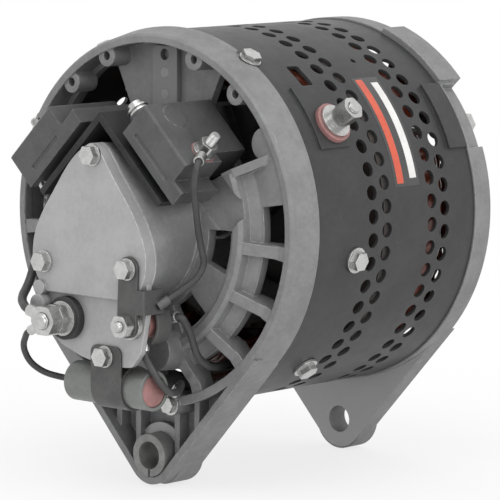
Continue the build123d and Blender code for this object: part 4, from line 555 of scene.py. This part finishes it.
@dataclass
class Skin:
    """Closed surfaces gathered for one mesh: rings of points, joined in order and closed at their ends."""

    points: list[np.ndarray]
    faces: list[np.ndarray]
    count: int = 0

    @classmethod
    def empty(cls) -> "Skin":
        """A skin with nothing in it."""
        return cls([], [])

    def add(self, rings: np.ndarray, capped: bool = True, looped: bool = False) -> None:
        """Adds many tubes at once.

        A tube is a grid of rings times points round a ring. Each cell of the grid is one quad, the
        last point of a ring joins its first, and a fan about each end ring's mean closes the tube.

        Args:
            rings: Array of tubes, rings, points round and 3 coordinates; one tube may drop the first axis.
            capped: Whether the ends are closed.
            looped: Whether the last ring joins the first instead.
        """
        grid = rings[None] if rings.ndim == 3 else rings
        tubes, along, around, _ = grid.shape
        base = self.count + np.arange(tubes)[:, None, None] * along * around
        i = np.arange(along if looped else along - 1)[None, :, None]
        first, second = i * around, (i + 1) % along * around
        j = np.arange(around)[None, None, :]
        k = (j + 1) % around
        corners = (base + first + j, base + first + k, base + second + k, base + second + j)
        quads = np.stack(np.broadcast_arrays(*corners), -1)
        self.points.append(grid.reshape(-1, 3))
        self.faces.append(quads.reshape(-1, 4))
        self.count += tubes * along * around
        if looped or not capped:
            return
        for ring, flip in ((0, True), (along - 1, False)):
            middle = self.count + np.arange(tubes)[:, None]
            a = base[:, 0] + ring * around + np.arange(around)[None]
            b = base[:, 0] + ring * around + (np.arange(around)[None] + 1) % around
            middle = np.broadcast_to(middle, a.shape)
            fan = np.stack((middle, b, a) if flip else (middle, a, b), -1)
            self.points.append(grid[:, ring].mean(1))
            self.faces.append(fan.reshape(-1, 3))
            self.count += tubes

    def solid(self, rings: np.ndarray, looped: bool = False) -> None:
        """Adds one closed tube, its rings turned round where that is what makes its volume positive."""
        trial = Skin.empty()
        trial.add(rings, looped=looped)
        self.add(rings if trial.volume() > 0 else rings[:, ::-1], looped=looped)

    def volume(self) -> float:
        """Signed volume: the sum over faces of the box product of their first corners."""
        points = np.concatenate(self.points)
        total = 0.0
        for block in self.faces:
            for second, third in ((1, 2), (2, 3))[: block.shape[1] - 2]:
                a, b, c = points[block[:, 0]], points[block[:, second]], points[block[:, third]]
                total += float(np.einsum("ij,ij->", a, np.cross(b, c)))
        return total / 6.0

    def piece(self, name: str, material: bpy.types.Material, smooth: float = 40.0) -> bpy.types.Object:
        """Makes the object, with faces that point outwards.

        Args:
            name: The piece's name.
            material: Its material.
            smooth: Edges sharper than this many degrees stay sharp.

        Returns:
            The object, at the origin.
        """
        order = slice(None, None, -1) if self.volume() < 0 else slice(None)
        mesh = bpy.data.meshes.new(name)
        faces = [list(face) for block in self.faces for face in block[:, order].tolist()]
        mesh.from_pydata(np.concatenate(self.points).tolist(), [], faces)
        mesh.polygons.foreach_set("use_smooth", np.ones(len(mesh.polygons), dtype=bool))
        mesh.set_sharp_from_angle(angle=math.radians(smooth))
        mesh.materials.append(material)
        mesh.update()
        made = bpy.data.objects.new(name, mesh)
        bpy.context.scene.collection.objects.link(made)
        return made


def wires(paths: np.ndarray, radius: float, sides: int) -> np.ndarray:
    """Round tubes along paths: at each point a circle square to the path, radius times cosine and sine
    along two directions that are square to the path and to each other, the first nearest to radial.

    Args:
        paths: Array of wires, points and 3 coordinates.
        radius: Wire radius.
        sides: Points round the wire.

    Returns:
        Array of wires, rings, points round and 3 coordinates.
    """
    along = np.gradient(paths, axis=1)
    along /= np.linalg.norm(along, axis=-1, keepdims=True)
    outward = paths * (1.0 - SHAFT)
    outward /= np.linalg.norm(outward, axis=-1, keepdims=True)
    side = np.cross(along, outward)
    side /= np.linalg.norm(side, axis=-1, keepdims=True)
    over = np.cross(side, along)
    turn = np.linspace(0.0, 2 * math.pi, sides, endpoint=False)[None, None, :, None]
    return paths[:, :, None] + radius * (np.cos(turn) * over[:, :, None] + np.sin(turn) * side[:, :, None])


def about_shaft(x: np.ndarray, radius: np.ndarray, angle: np.ndarray) -> np.ndarray:
    """Points from stations, radii and angles in radians, counted from the right side upwards."""
    return np.stack(np.broadcast_arrays(x, -radius * np.cos(angle), radius * np.sin(angle)), -1)


@dataclass
class StatorCoils:
    """The stator's wound coils: in each slot two layers of wires, joined by turns over both ends."""

    core_rear: float = -0.084
    core_front: float = -0.052
    slots: int = 36
    span: int = 3
    outer_layer: float = 0.0688
    inner_layer: float = 0.0617
    flare: tuple[float, float] = (0.0052, 0.0095)
    straight: float = 0.0022
    rise: tuple[float, float] = (0.0102, 0.0205)
    wire: float = 0.00078
    wire_sides: int = 6
    pitch: float = 0.00165
    varnish_middle: tuple[float, float] = (0.0695, 0.0722)
    varnish_half: tuple[float, float] = (0.0060, 0.0096)
    varnish_share: float = 0.84
    bolts: tuple[float, ...] = (30.0, 150.0, 270.0)
    bolt_dent: float = 0.0075
    bolt_bell: float = 6.0
    ripple: float = 0.0004
    squareness: float = 0.6
    varnish_gap: float = 0.0003
    bar_overlap: float = 0.0002

    def offsets(self) -> np.ndarray:
        """Places of a layer's eight wires: two across the slot and four along its depth."""
        across, deep = np.meshgrid((-0.5, 0.5), (-1.5, -0.5, 0.5, 1.5))
        return np.stack((across.ravel(), deep.ravel()), -1) * self.pitch

    def dent(self, angle: np.ndarray) -> np.ndarray:
        """How far the turns lie in to pass a through bolt: a bell of bolt_bell degrees at each bolt."""
        away = [(angle - math.radians(bolt) + math.pi) % (2 * math.pi) - math.pi for bolt in self.bolts]
        return self.bolt_dent * sum(np.exp(-(gap / math.radians(self.bolt_bell)) ** 2) for gap in away)

    def varnish(self, face: float, end: int) -> np.ndarray:
        """Rings of the varnished mass inside the end turns.

        At angle a about the shaft and v about the section, the radius is the middle's plus the half
        width times the signed 0.6 power of sin(v), plus a ripple of the slot count. The middle and the
        half width each give up half the dent at a bolt. The height over the core is half the mass's
        height times one plus the signed 0.6 power of cos(v).

        Args:
            face: Station of the core's end.
            end: 0 for the rear end and 1 for the front end.

        Returns:
            Array of rings, points round and 3 coordinates.
        """
        angle = np.linspace(0.0, 2 * math.pi, 6 * self.slots, endpoint=False)[:, None]
        v = np.linspace(0.0, 2 * math.pi, 20, endpoint=False)[None]
        tall = self.varnish_share * (self.straight + self.rise[end])
        ripple = self.ripple * np.cos(self.slots * angle)
        middle = self.varnish_middle[end] + ripple - 0.5 * self.dent(angle)
        half = self.varnish_half[end] - 0.5 * self.dent(angle)
        radius = middle + half * np.sign(np.sin(v)) * np.abs(np.sin(v)) ** self.squareness
        swell = np.sign(np.cos(v)) * np.abs(np.cos(v)) ** self.squareness
        height = self.varnish_gap + 0.5 * tall * (1.0 + swell)
        return about_shaft(face + (2 * end - 1) * height, radius, angle)

    def turns(self, face: float, end: int) -> np.ndarray:
        """Paths of the end turns over one end.

        With u from 0 to 1, the angle goes from one slot to the third next by a smooth step of u, the
        radius from the outer layer to the inner one by the same step plus flare, less the dent at a bolt,
        times the root of sin(pi u), and the height over the core is straight plus rise times sin(pi u) to
        the power 0.7.

        Args:
            face: Station of the core's end.
            end: 0 for the rear end and 1 for the front end.

        Returns:
            Array of wires, points and 3 coordinates.
        """
        u = np.linspace(0.0, 1.0, 19)[None, None, :]
        step = u * u * (3 - 2 * u)
        slot = (np.arange(self.slots) * 2 * math.pi / self.slots)[:, None, None]
        across, deep = (self.offsets()[:, n][None, :, None] for n in (0, 1))
        arch = np.sin(math.pi * u).clip(0.0)
        spread = self.flare[end] * arch ** 0.5
        radius = self.outer_layer + (self.inner_layer - self.outer_layer) * step + spread + deep
        reach = self.span * 2 * math.pi / self.slots
        angle = slot + reach * step + across * (1 - 2 * step) / self.outer_layer
        radius = radius - self.dent(angle) * arch ** 0.5
        foot = self.straight * np.minimum(1.0, 8 * np.minimum(u, 1 - u))
        height = foot + self.rise[end] * arch ** 0.7 + across * arch
        return about_shaft(face + (2 * end - 1) * height, radius, angle).reshape(-1, u.shape[-1], 3)

    def bars(self) -> np.ndarray:
        """Straight paths through the slots, in both layers."""
        ends = (self.core_rear - self.bar_overlap, self.core_front + self.bar_overlap)
        x = np.array(ends)[None, None, None, :]
        slot = (np.arange(self.slots) * 2 * math.pi / self.slots)[:, None, None, None]
        layer = np.array((self.outer_layer, self.inner_layer))[None, :, None, None]
        across, deep = (self.offsets()[:, n][None, None, :, None] for n in (0, 1))
        return about_shaft(x, layer + deep, slot + across / layer).reshape(-1, 2, 3)

    def build(self, rack: Rack) -> bpy.types.Object:
        """Makes the coils in place of the plain winding."""
        skin = Skin.empty()
        for end, face in enumerate((self.core_rear, self.core_front)):
            skin.add(wires(self.turns(face, end), self.wire, self.wire_sides), capped=False)
            skin.solid(self.varnish(face, end), looped=True)
        skin.add(wires(self.bars(), self.wire, self.wire_sides))
        made = skin.piece("stator_coils", rack.take(Surface.COIL.value))
        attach(made, "frame")
        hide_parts("stator_winding")
        return made


@dataclass(frozen=True)
class Cut:
    """The outline of a heat sink at one place down its slope: heights, front end and depth of the groove."""

    place: float
    low: float = 0.0415
    high: float = 0.0604
    front: float = 0.0105
    depth: float = 0.0


@dataclass
class SinkBlock:
    """A heat sink's block, with a stepped end, a shallow groove in its rear face and round bosses.

    Its own measures are x along the shaft from the housing's rear face, n outwards from the shaft, and t
    down along the slope. A boss is given by its x and t, the screw's seat and the lip by where they start
    and end on the slope.
    """

    name: str
    node: str
    side: float
    cuts: tuple[Cut, ...]
    boss: Optional[tuple[float, float]] = None
    seat: Optional[tuple[float, float]] = None
    lip: Optional[tuple[float, float]] = None
    rear_face: float = -0.150
    rear: float = -0.0340
    edge: float = 0.0009
    groove: tuple[float, ...] = (0.222, 0.242, 0.341, 0.361)
    boss_radius: float = 0.0062
    boss_height: float = 0.0005
    boss_root: float = 0.0006
    boss_edge: float = 0.0003
    screw: tuple[float, float] = (-0.0240, 0.0485)
    seat_radius: float = 0.0056
    lip_ends: tuple[float, float] = (-0.0310, -0.0098)
    lip_heights: tuple[float, float] = (0.0532, 0.06035)

    def point(self, x: np.ndarray, n: np.ndarray, t: np.ndarray) -> np.ndarray:
        """Places of the block's own measures.

        With the root of a half as the scale, y is the side times -(n + t), and z is n - t.
        """
        y = -self.side * (n + t) * ROOT_HALF
        return np.stack(np.broadcast_arrays(self.rear_face + x, y, (n - t) * ROOT_HALF), -1)

    def block(self) -> np.ndarray:
        """Rings of the block: each cut's outline at its place."""
        rings = []
        for cut in self.cuts:
            shoulder = cut.high - self.edge
            walls = cut.low + np.array(self.groove) * (shoulder - cut.low)
            floor = self.rear + cut.depth
            x = np.array((self.rear, self.rear, floor, floor, self.rear, self.rear, self.rear + self.edge,
                          cut.front - self.edge, cut.front, cut.front))
            n = np.array((cut.low, *walls, shoulder, cut.high, cut.high, shoulder, cut.low))
            rings.append(self.point(x, n, np.full_like(x, cut.place)))
        return np.array(rings)

    def disc(self, x: float, t: float) -> np.ndarray:
        """Rings of the boss on the outer face: circles of shrinking radius over its rounded edge."""
        turn = np.linspace(0.0, 2 * math.pi, 48, endpoint=False)[None]
        lift = np.array((-self.boss_root, self.boss_height * 0.6, self.boss_height))[:, None]
        radius = self.boss_radius - np.array((0.0, 0.0, self.boss_edge))[:, None]
        return self.point(x + radius * np.cos(turn), Cut.high + lift, t + radius * np.sin(turn))

    def column(self, start: float, end: float) -> np.ndarray:
        """Rings of the round seat that the end screw's washers stand on."""
        turn = np.linspace(0.0, 2 * math.pi, 40, endpoint=False)[None]
        x, n = self.screw
        ends = np.array((start, end))[:, None]
        return self.point(x + self.seat_radius * np.cos(turn), n + self.seat_radius * np.sin(turn), ends)

    def shelf(self, start: float, end: float) -> np.ndarray:
        """Rings of the lip over the end screw: the same box section at both places."""
        x = np.array(self.lip_ends)[[0, 0, 1, 1]]
        n = np.array(self.lip_heights)[[0, 1, 1, 0]]
        return np.array([self.point(x, n, np.full_like(x, t)) for t in (start, end)])

    def build(self, rack: Rack) -> bpy.types.Object:
        """Makes the block in place of its plain solid."""
        skin = Skin.empty()
        skin.solid(self.block())
        for form, given in ((self.disc, self.boss), (self.shelf, self.lip), (self.column, self.seat)):
            if given:
                skin.solid(form(*given))
        made = skin.piece(self.name, rack.take(Surface.SINK.value), 30.0)
        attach(made, "frame")
        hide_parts(self.node)
        return made


def sink_blocks() -> tuple[SinkBlock, SinkBlock]:
    """Both heat sinks: the right one steps down at its foot, the left one at its top."""
    thin, shallow, back, cheek, dish, groove = 0.00004, 0.0495, -0.0097, -0.0298, 0.0100, 0.0007
    right = (
        Cut(-0.0205), Cut(-0.0150), Cut(-0.0150 + thin, depth=groove), Cut(dish, depth=groove),
        Cut(dish + thin, front=back, depth=groove), Cut(0.0120, front=back, depth=groove),
        Cut(0.0120 + thin, front=back), Cut(0.0152, front=back),
        Cut(0.0152 + thin, high=shallow, front=back), Cut(0.0225, high=shallow, front=back),
    )
    left = (
        Cut(-0.0250, high=shallow), Cut(-0.0145 - thin, high=shallow), Cut(-0.0145), Cut(-0.0090),
        Cut(-0.0090 + thin, depth=groove), Cut(dish, depth=groove),
        Cut(dish + thin, front=back, depth=groove), Cut(0.0130, front=back, depth=groove),
        Cut(0.0130 + thin, front=back), Cut(0.0170, front=back),
        Cut(0.0170 + thin, front=cheek), Cut(0.0205, front=cheek),
    )
    return (
        SinkBlock("right_sink_block", "heat_sink_right", 1.0, right, boss=(-0.0200, -0.0125),
                  seat=(-0.0250, -0.0203)),
        SinkBlock("left_sink_block", "heat_sink_left", -1.0, left, lip=(0.0160, 0.02045)),
    )


@dataclass
class Rod:
    """A threaded rod: a round bar with a helical groove and chamfered ends."""

    start: Point
    way: Point
    length: float
    radius: float
    pitch: float
    head: float = 0.0
    head_length: float = 0.001
    groove: float = 0.5
    bevel: float = 0.6
    steps: int = 6
    sides: int = 24

    def rings(self) -> np.ndarray:
        """Rings of the rod.

        At s along the rod and angle a about it, the radius is the rod's, less the groove or the chamfer,
        whichever is deeper. The groove is half a pitch times the triangle wave of s / pitch - a / 2 pi,
        and the chamfer grows linearly to 0.6 pitch over the last pitch at each end. A head replaces the
        first millimetre by its own radius.

        Returns:
            Array of rings, points round and 3 coordinates.
        """
        rings = int(math.ceil(self.length / self.pitch * self.steps)) + 1
        s = np.linspace(0.0, self.length, rings)[:, None]
        a = np.linspace(0.0, 2 * math.pi, self.sides, endpoint=False)[None]
        wave = np.abs(((s / self.pitch - a / (2 * math.pi)) % 1.0) * 2 - 1)
        end = np.minimum(s, self.length - s)
        chamfer = np.clip(1.0 - end / self.pitch, 0.0, 1.0) * self.bevel * self.pitch
        reach = np.minimum(self.radius - self.groove * self.pitch * wave, self.radius - chamfer)
        if self.head:
            reach = np.where(s < self.head_length, self.head, reach)
        axis = np.array(self.way) / np.linalg.norm(self.way)
        first = np.cross(axis, (0.0, 0.0, 1.0) if abs(axis[2]) < 0.8 else (0.0, 1.0, 0.0))
        first /= np.linalg.norm(first)
        second = np.cross(axis, first)
        ring = np.cos(a)[..., None] * first + np.sin(a)[..., None] * second
        return np.array(self.start) + s[..., None] * axis + reach[..., None] * ring


@dataclass
class Studs:
    """The threaded studs of the terminals and of the heat sinks."""

    shell_angle: float = 32.0
    shell_foot: float = 0.0832
    sink_out: float = 0.050
    sink_down: float = 0.009
    sink_station: float = -0.168

    def large(self) -> tuple[Rod, ...]:
        """The output stud and the shell's stud."""
        angle = math.radians(self.shell_angle)
        way = (0.0, -math.cos(angle), math.sin(angle))
        foot = self.shell_foot
        return (
            Rod((-0.2075, 0.0154, -0.0425), (1.0, 0.0, 0.0), 0.0365, 0.004, 0.00125),
            Rod((-0.1099, foot * way[1], foot * way[2]), way, 0.0223, 0.003, 0.001, 0.005),
        )

    def small(self) -> tuple[Rod, ...]:
        """The studs of both heat sinks and the relay's stud."""
        x = self.sink_station
        y = (self.sink_out + self.sink_down) * ROOT_HALF
        z = (self.sink_out - self.sink_down) * ROOT_HALF
        return (
            Rod((x, -y, z), (0.0, -1.0, 1.0), 0.022, 0.0025, 0.0008),
            Rod((x, y, z), (0.0, 1.0, 1.0), 0.022, 0.0025, 0.0008),
            Rod((-0.1995, -0.025, -0.042), (1.0, 0.0, 0.0), 0.0325, 0.0025, 0.0008),
        )

    def build(self, rack: Rack) -> list[bpy.types.Object]:
        """Makes both sets in place of the plain rods."""
        made = []
        for name, node, rods in (("threaded_terminals", "terminal_studs", self.large()),
                                 ("threaded_small_studs", "small_studs", self.small())):
            skin = Skin.empty()
            for rod in rods:
                skin.add(rod.rings())
            piece = skin.piece(name, rack.take(Surface.ZINC.value), 30.0)
            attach(piece, "frame")
            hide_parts(node)
            made.append(piece)
        return made


@dataclass
class Band:
    """A strip of film round the shell."""

    name: str
    surface: Surface
    rear: float
    front: float
    low: float
    high: float
    under: float
    over: float

    def build(self, rack: Rack) -> bpy.types.Object:
        """Makes the strip: a flat box section carried round the shaft from the low to the high angle."""
        angle = np.radians(np.linspace(self.low, self.high, 49))[:, None]
        x = np.array((self.rear, self.front, self.front, self.rear))[None]
        radius = np.array((self.under, self.under, self.over, self.over))[None]
        skin = Skin.empty()
        skin.add(about_shaft(x, radius, angle))
        made = skin.piece(self.name, rack.take(self.surface.value), 30.0)
        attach(made, "frame")
        return made


def label_bands() -> tuple[Band, ...]:
    """The shell's label, bare of words: a black film with an orange and a white band."""
    return (
        Band("label_film", Surface.FILM, -0.0772, -0.0595, 10.6, 47.6, 0.08735, 0.08762),
        Band("label_orange_band", Surface.ORANGE, -0.0753, -0.0706, 11.6, 47.0, 0.08745, 0.08768),
        Band("label_white_band", Surface.WHITE, -0.0659, -0.0611, 12.9, 45.5, 0.08745, 0.08768),
    )


@dataclass
class Studio:
    """Camera, lamps, world and floor."""

    look: Point = (-0.082108, -0.001292, -0.019614)
    azimuth: float = 48.43562
    elevation: float = 7.07649
    roll: float = 0.22244
    distance: float = 1.70112
    focal_pixels: float = 3575.29
    frame_pixels: float = 500.0
    sensor: float = 36.0
    clip: tuple[float, float] = (0.05, 60.0)
    middle: float = -0.08
    fill: float = 0.90
    key: float = 10.0
    side: float = 9.0
    white_near: float = 0.76
    shade_reach: tuple[float, float] = (0.10, 0.42)
    floor_half: float = 14.0

    def camera(self) -> None:
        """Sets the camera at the photograph's angle and distance."""
        a, e, r = (math.radians(v) for v in (self.azimuth, self.elevation, self.roll))
        ahead = Vector((math.sin(a) * math.cos(e), math.cos(a) * math.cos(e), -math.sin(e)))
        level = Vector((math.cos(a), -math.sin(a), 0.0))
        raised = level.cross(ahead)
        right = math.cos(r) * level + math.sin(r) * raised
        up = right.cross(ahead)
        data = bpy.data.cameras.new("camera")
        data.sensor_width = self.sensor
        data.lens = self.focal_pixels / self.frame_pixels * self.sensor
        data.clip_start, data.clip_end = self.clip
        made = bpy.data.objects.new("camera", data)
        turn = Matrix((right, up, -ahead)).transposed().to_4x4()
        made.matrix_world = Matrix.Translation(Vector(self.look) - self.distance * ahead) @ turn
        bpy.context.scene.collection.objects.link(made)
        bpy.context.scene.camera = made

    def lamp(self, name: str, place: Point, aim: Point, size: float, power: float) -> None:
        """Adds one square soft lamp that points at the aim."""
        data = bpy.data.lights.new(name, "AREA")
        data.shape, data.size, data.energy = "SQUARE", size, power
        made = bpy.data.objects.new(name, data)
        way = Vector(aim) - Vector(place)
        turn = way.to_track_quat("-Z", "Y").to_matrix().to_4x4()
        made.matrix_world = Matrix.Translation(Vector(place)) @ turn
        bpy.context.scene.collection.objects.link(made)

    def world(self) -> None:
        """White to the camera, in reflections and through glass, and a soft even fill elsewhere."""
        made = bpy.data.worlds.new("studio")
        made.use_nodes = True
        tree = made.node_tree
        tree.nodes.clear()
        rays = tree.nodes.new("ShaderNodeLightPath")
        seen = rays.outputs["Is Camera Ray"]
        for other in ("Is Glossy Ray", "Is Transmission Ray"):
            either = tree.nodes.new("ShaderNodeMath")
            either.operation = "MAXIMUM"
            tree.links.new(seen, either.inputs[0])
            tree.links.new(rays.outputs[other], either.inputs[1])
            seen = either.outputs[0]
        lights = []
        for strength in (self.fill, 1.0):
            light = tree.nodes.new("ShaderNodeBackground")
            light.inputs["Color"].default_value = (1.0, 1.0, 1.0, 1.0)
            light.inputs["Strength"].default_value = strength
            lights.append(light)
        mixed = tree.nodes.new("ShaderNodeMixShader")
        out = tree.nodes.new("ShaderNodeOutputWorld")
        tree.links.new(seen, mixed.inputs[0])
        tree.links.new(lights[0].outputs[0], mixed.inputs[1])
        tree.links.new(lights[1].outputs[0], mixed.inputs[2])
        tree.links.new(mixed.outputs[0], out.inputs["Surface"])
        bpy.context.scene.world = made

    def floor(self, height: float) -> bpy.types.Object:
        """Makes the pale floor under the part.

        Seen by the camera, in reflections and through glass it glows white, a share of white_near under
        the part and all of it past shade_reach; to all other light it is plain paper.

        Args:
            height: The part's lowest point.

        Returns:
            The floor, marked as stage.
        """
        bench = Bench("floor_paper")
        x, y, _ = bench.axes()
        along = x - self.middle
        away = (along * along + y * y) ** 0.5
        rays = bench.node("ShaderNodeLightPath")
        seen = Value(bench, rays.outputs["Is Camera Ray"])
        for other in ("Is Glossy Ray", "Is Transmission Ray"):
            seen = bench.math("MAXIMUM", seen, Value(bench, rays.outputs[other]))
        paper = bench.node("ShaderNodeBsdfDiffuse", None, {"Color": (0.86, 0.86, 0.86)})
        glow = bench.node("ShaderNodeEmission", None, {"Color": (1.0, 1.0, 1.0), "Strength": 1.0})
        mixed = bench.node("ShaderNodeMixShader", None, {
            0: seen * (away.rise(*self.shade_reach) * (1.0 - self.white_near) + self.white_near),
            1: paper.outputs[0], 2: glow.outputs[0]})
        mesh = bpy.data.meshes.new("floor")
        half = self.floor_half
        corners = [(-half, -half, height), (half, -half, height), (half, half, height), (-half, half, height)]
        mesh.from_pydata(corners, [], [(0, 1, 2, 3)])
        mesh.materials.append(bench.finish(mixed))
        made = bpy.data.objects.new("floor", mesh)
        bpy.context.scene.collection.objects.link(made)
        made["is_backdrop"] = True
        return made

    def build(self, height: float) -> None:
        """Sets the whole studio over a floor at that height."""
        bpy.context.scene.view_settings.view_transform = "Standard"
        self.camera()
        self.world()
        self.lamp("key_lamp", (-0.9, -0.5, 1.6), (self.middle, 0.0, 0.0), 1.3, self.key)
        self.lamp("side_lamp", (-0.5, -1.8, 0.45), (self.middle, 0.0, -0.03), 1.2, self.side)
        self.floor(height)


def dress(frame: dict[str, Any], rack: Rack) -> None:
    """Gives every node of the frame the finish of its material slot.

    Args:
        frame: The loaded frame.
        rack: The materials.
    """
    shaded = {part["node"]: part["material_slot"] for part in frame["record"]["subparts"]}
    for name, piece in frame["nodes"].items():
        surface = OWN.get(name, SLOTS[shaded[name]])
        material = rack.take(surface.value)
        for slot in piece.material_slots:
            slot.material = material
        LOG.info("%s: %s", name, surface.value.name)


def main() -> None:
    """Builds and dresses everything in order."""
    logging.basicConfig(level=logging.INFO, format="%(name)s %(message)s")
    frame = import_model()
    cad_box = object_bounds()
    low = float(np.array(cad_box).reshape(-1, 3)[:, 2].min())
    Studio().build(low - FLOOR_GAP)
    rack = Rack()
    dress(frame, rack)
    pieces = [StatorCoils().build(rack)]
    pieces += [sink.build(rack) for sink in sink_blocks()]
    pieces += Studs().build(rack)
    pieces += [band.build(rack) for band in label_bands()]
    for piece in pieces:
        LOG.info("%s: %d faces", piece.name, len(piece.data.polygons))


if __name__ == "__main__":
    main()
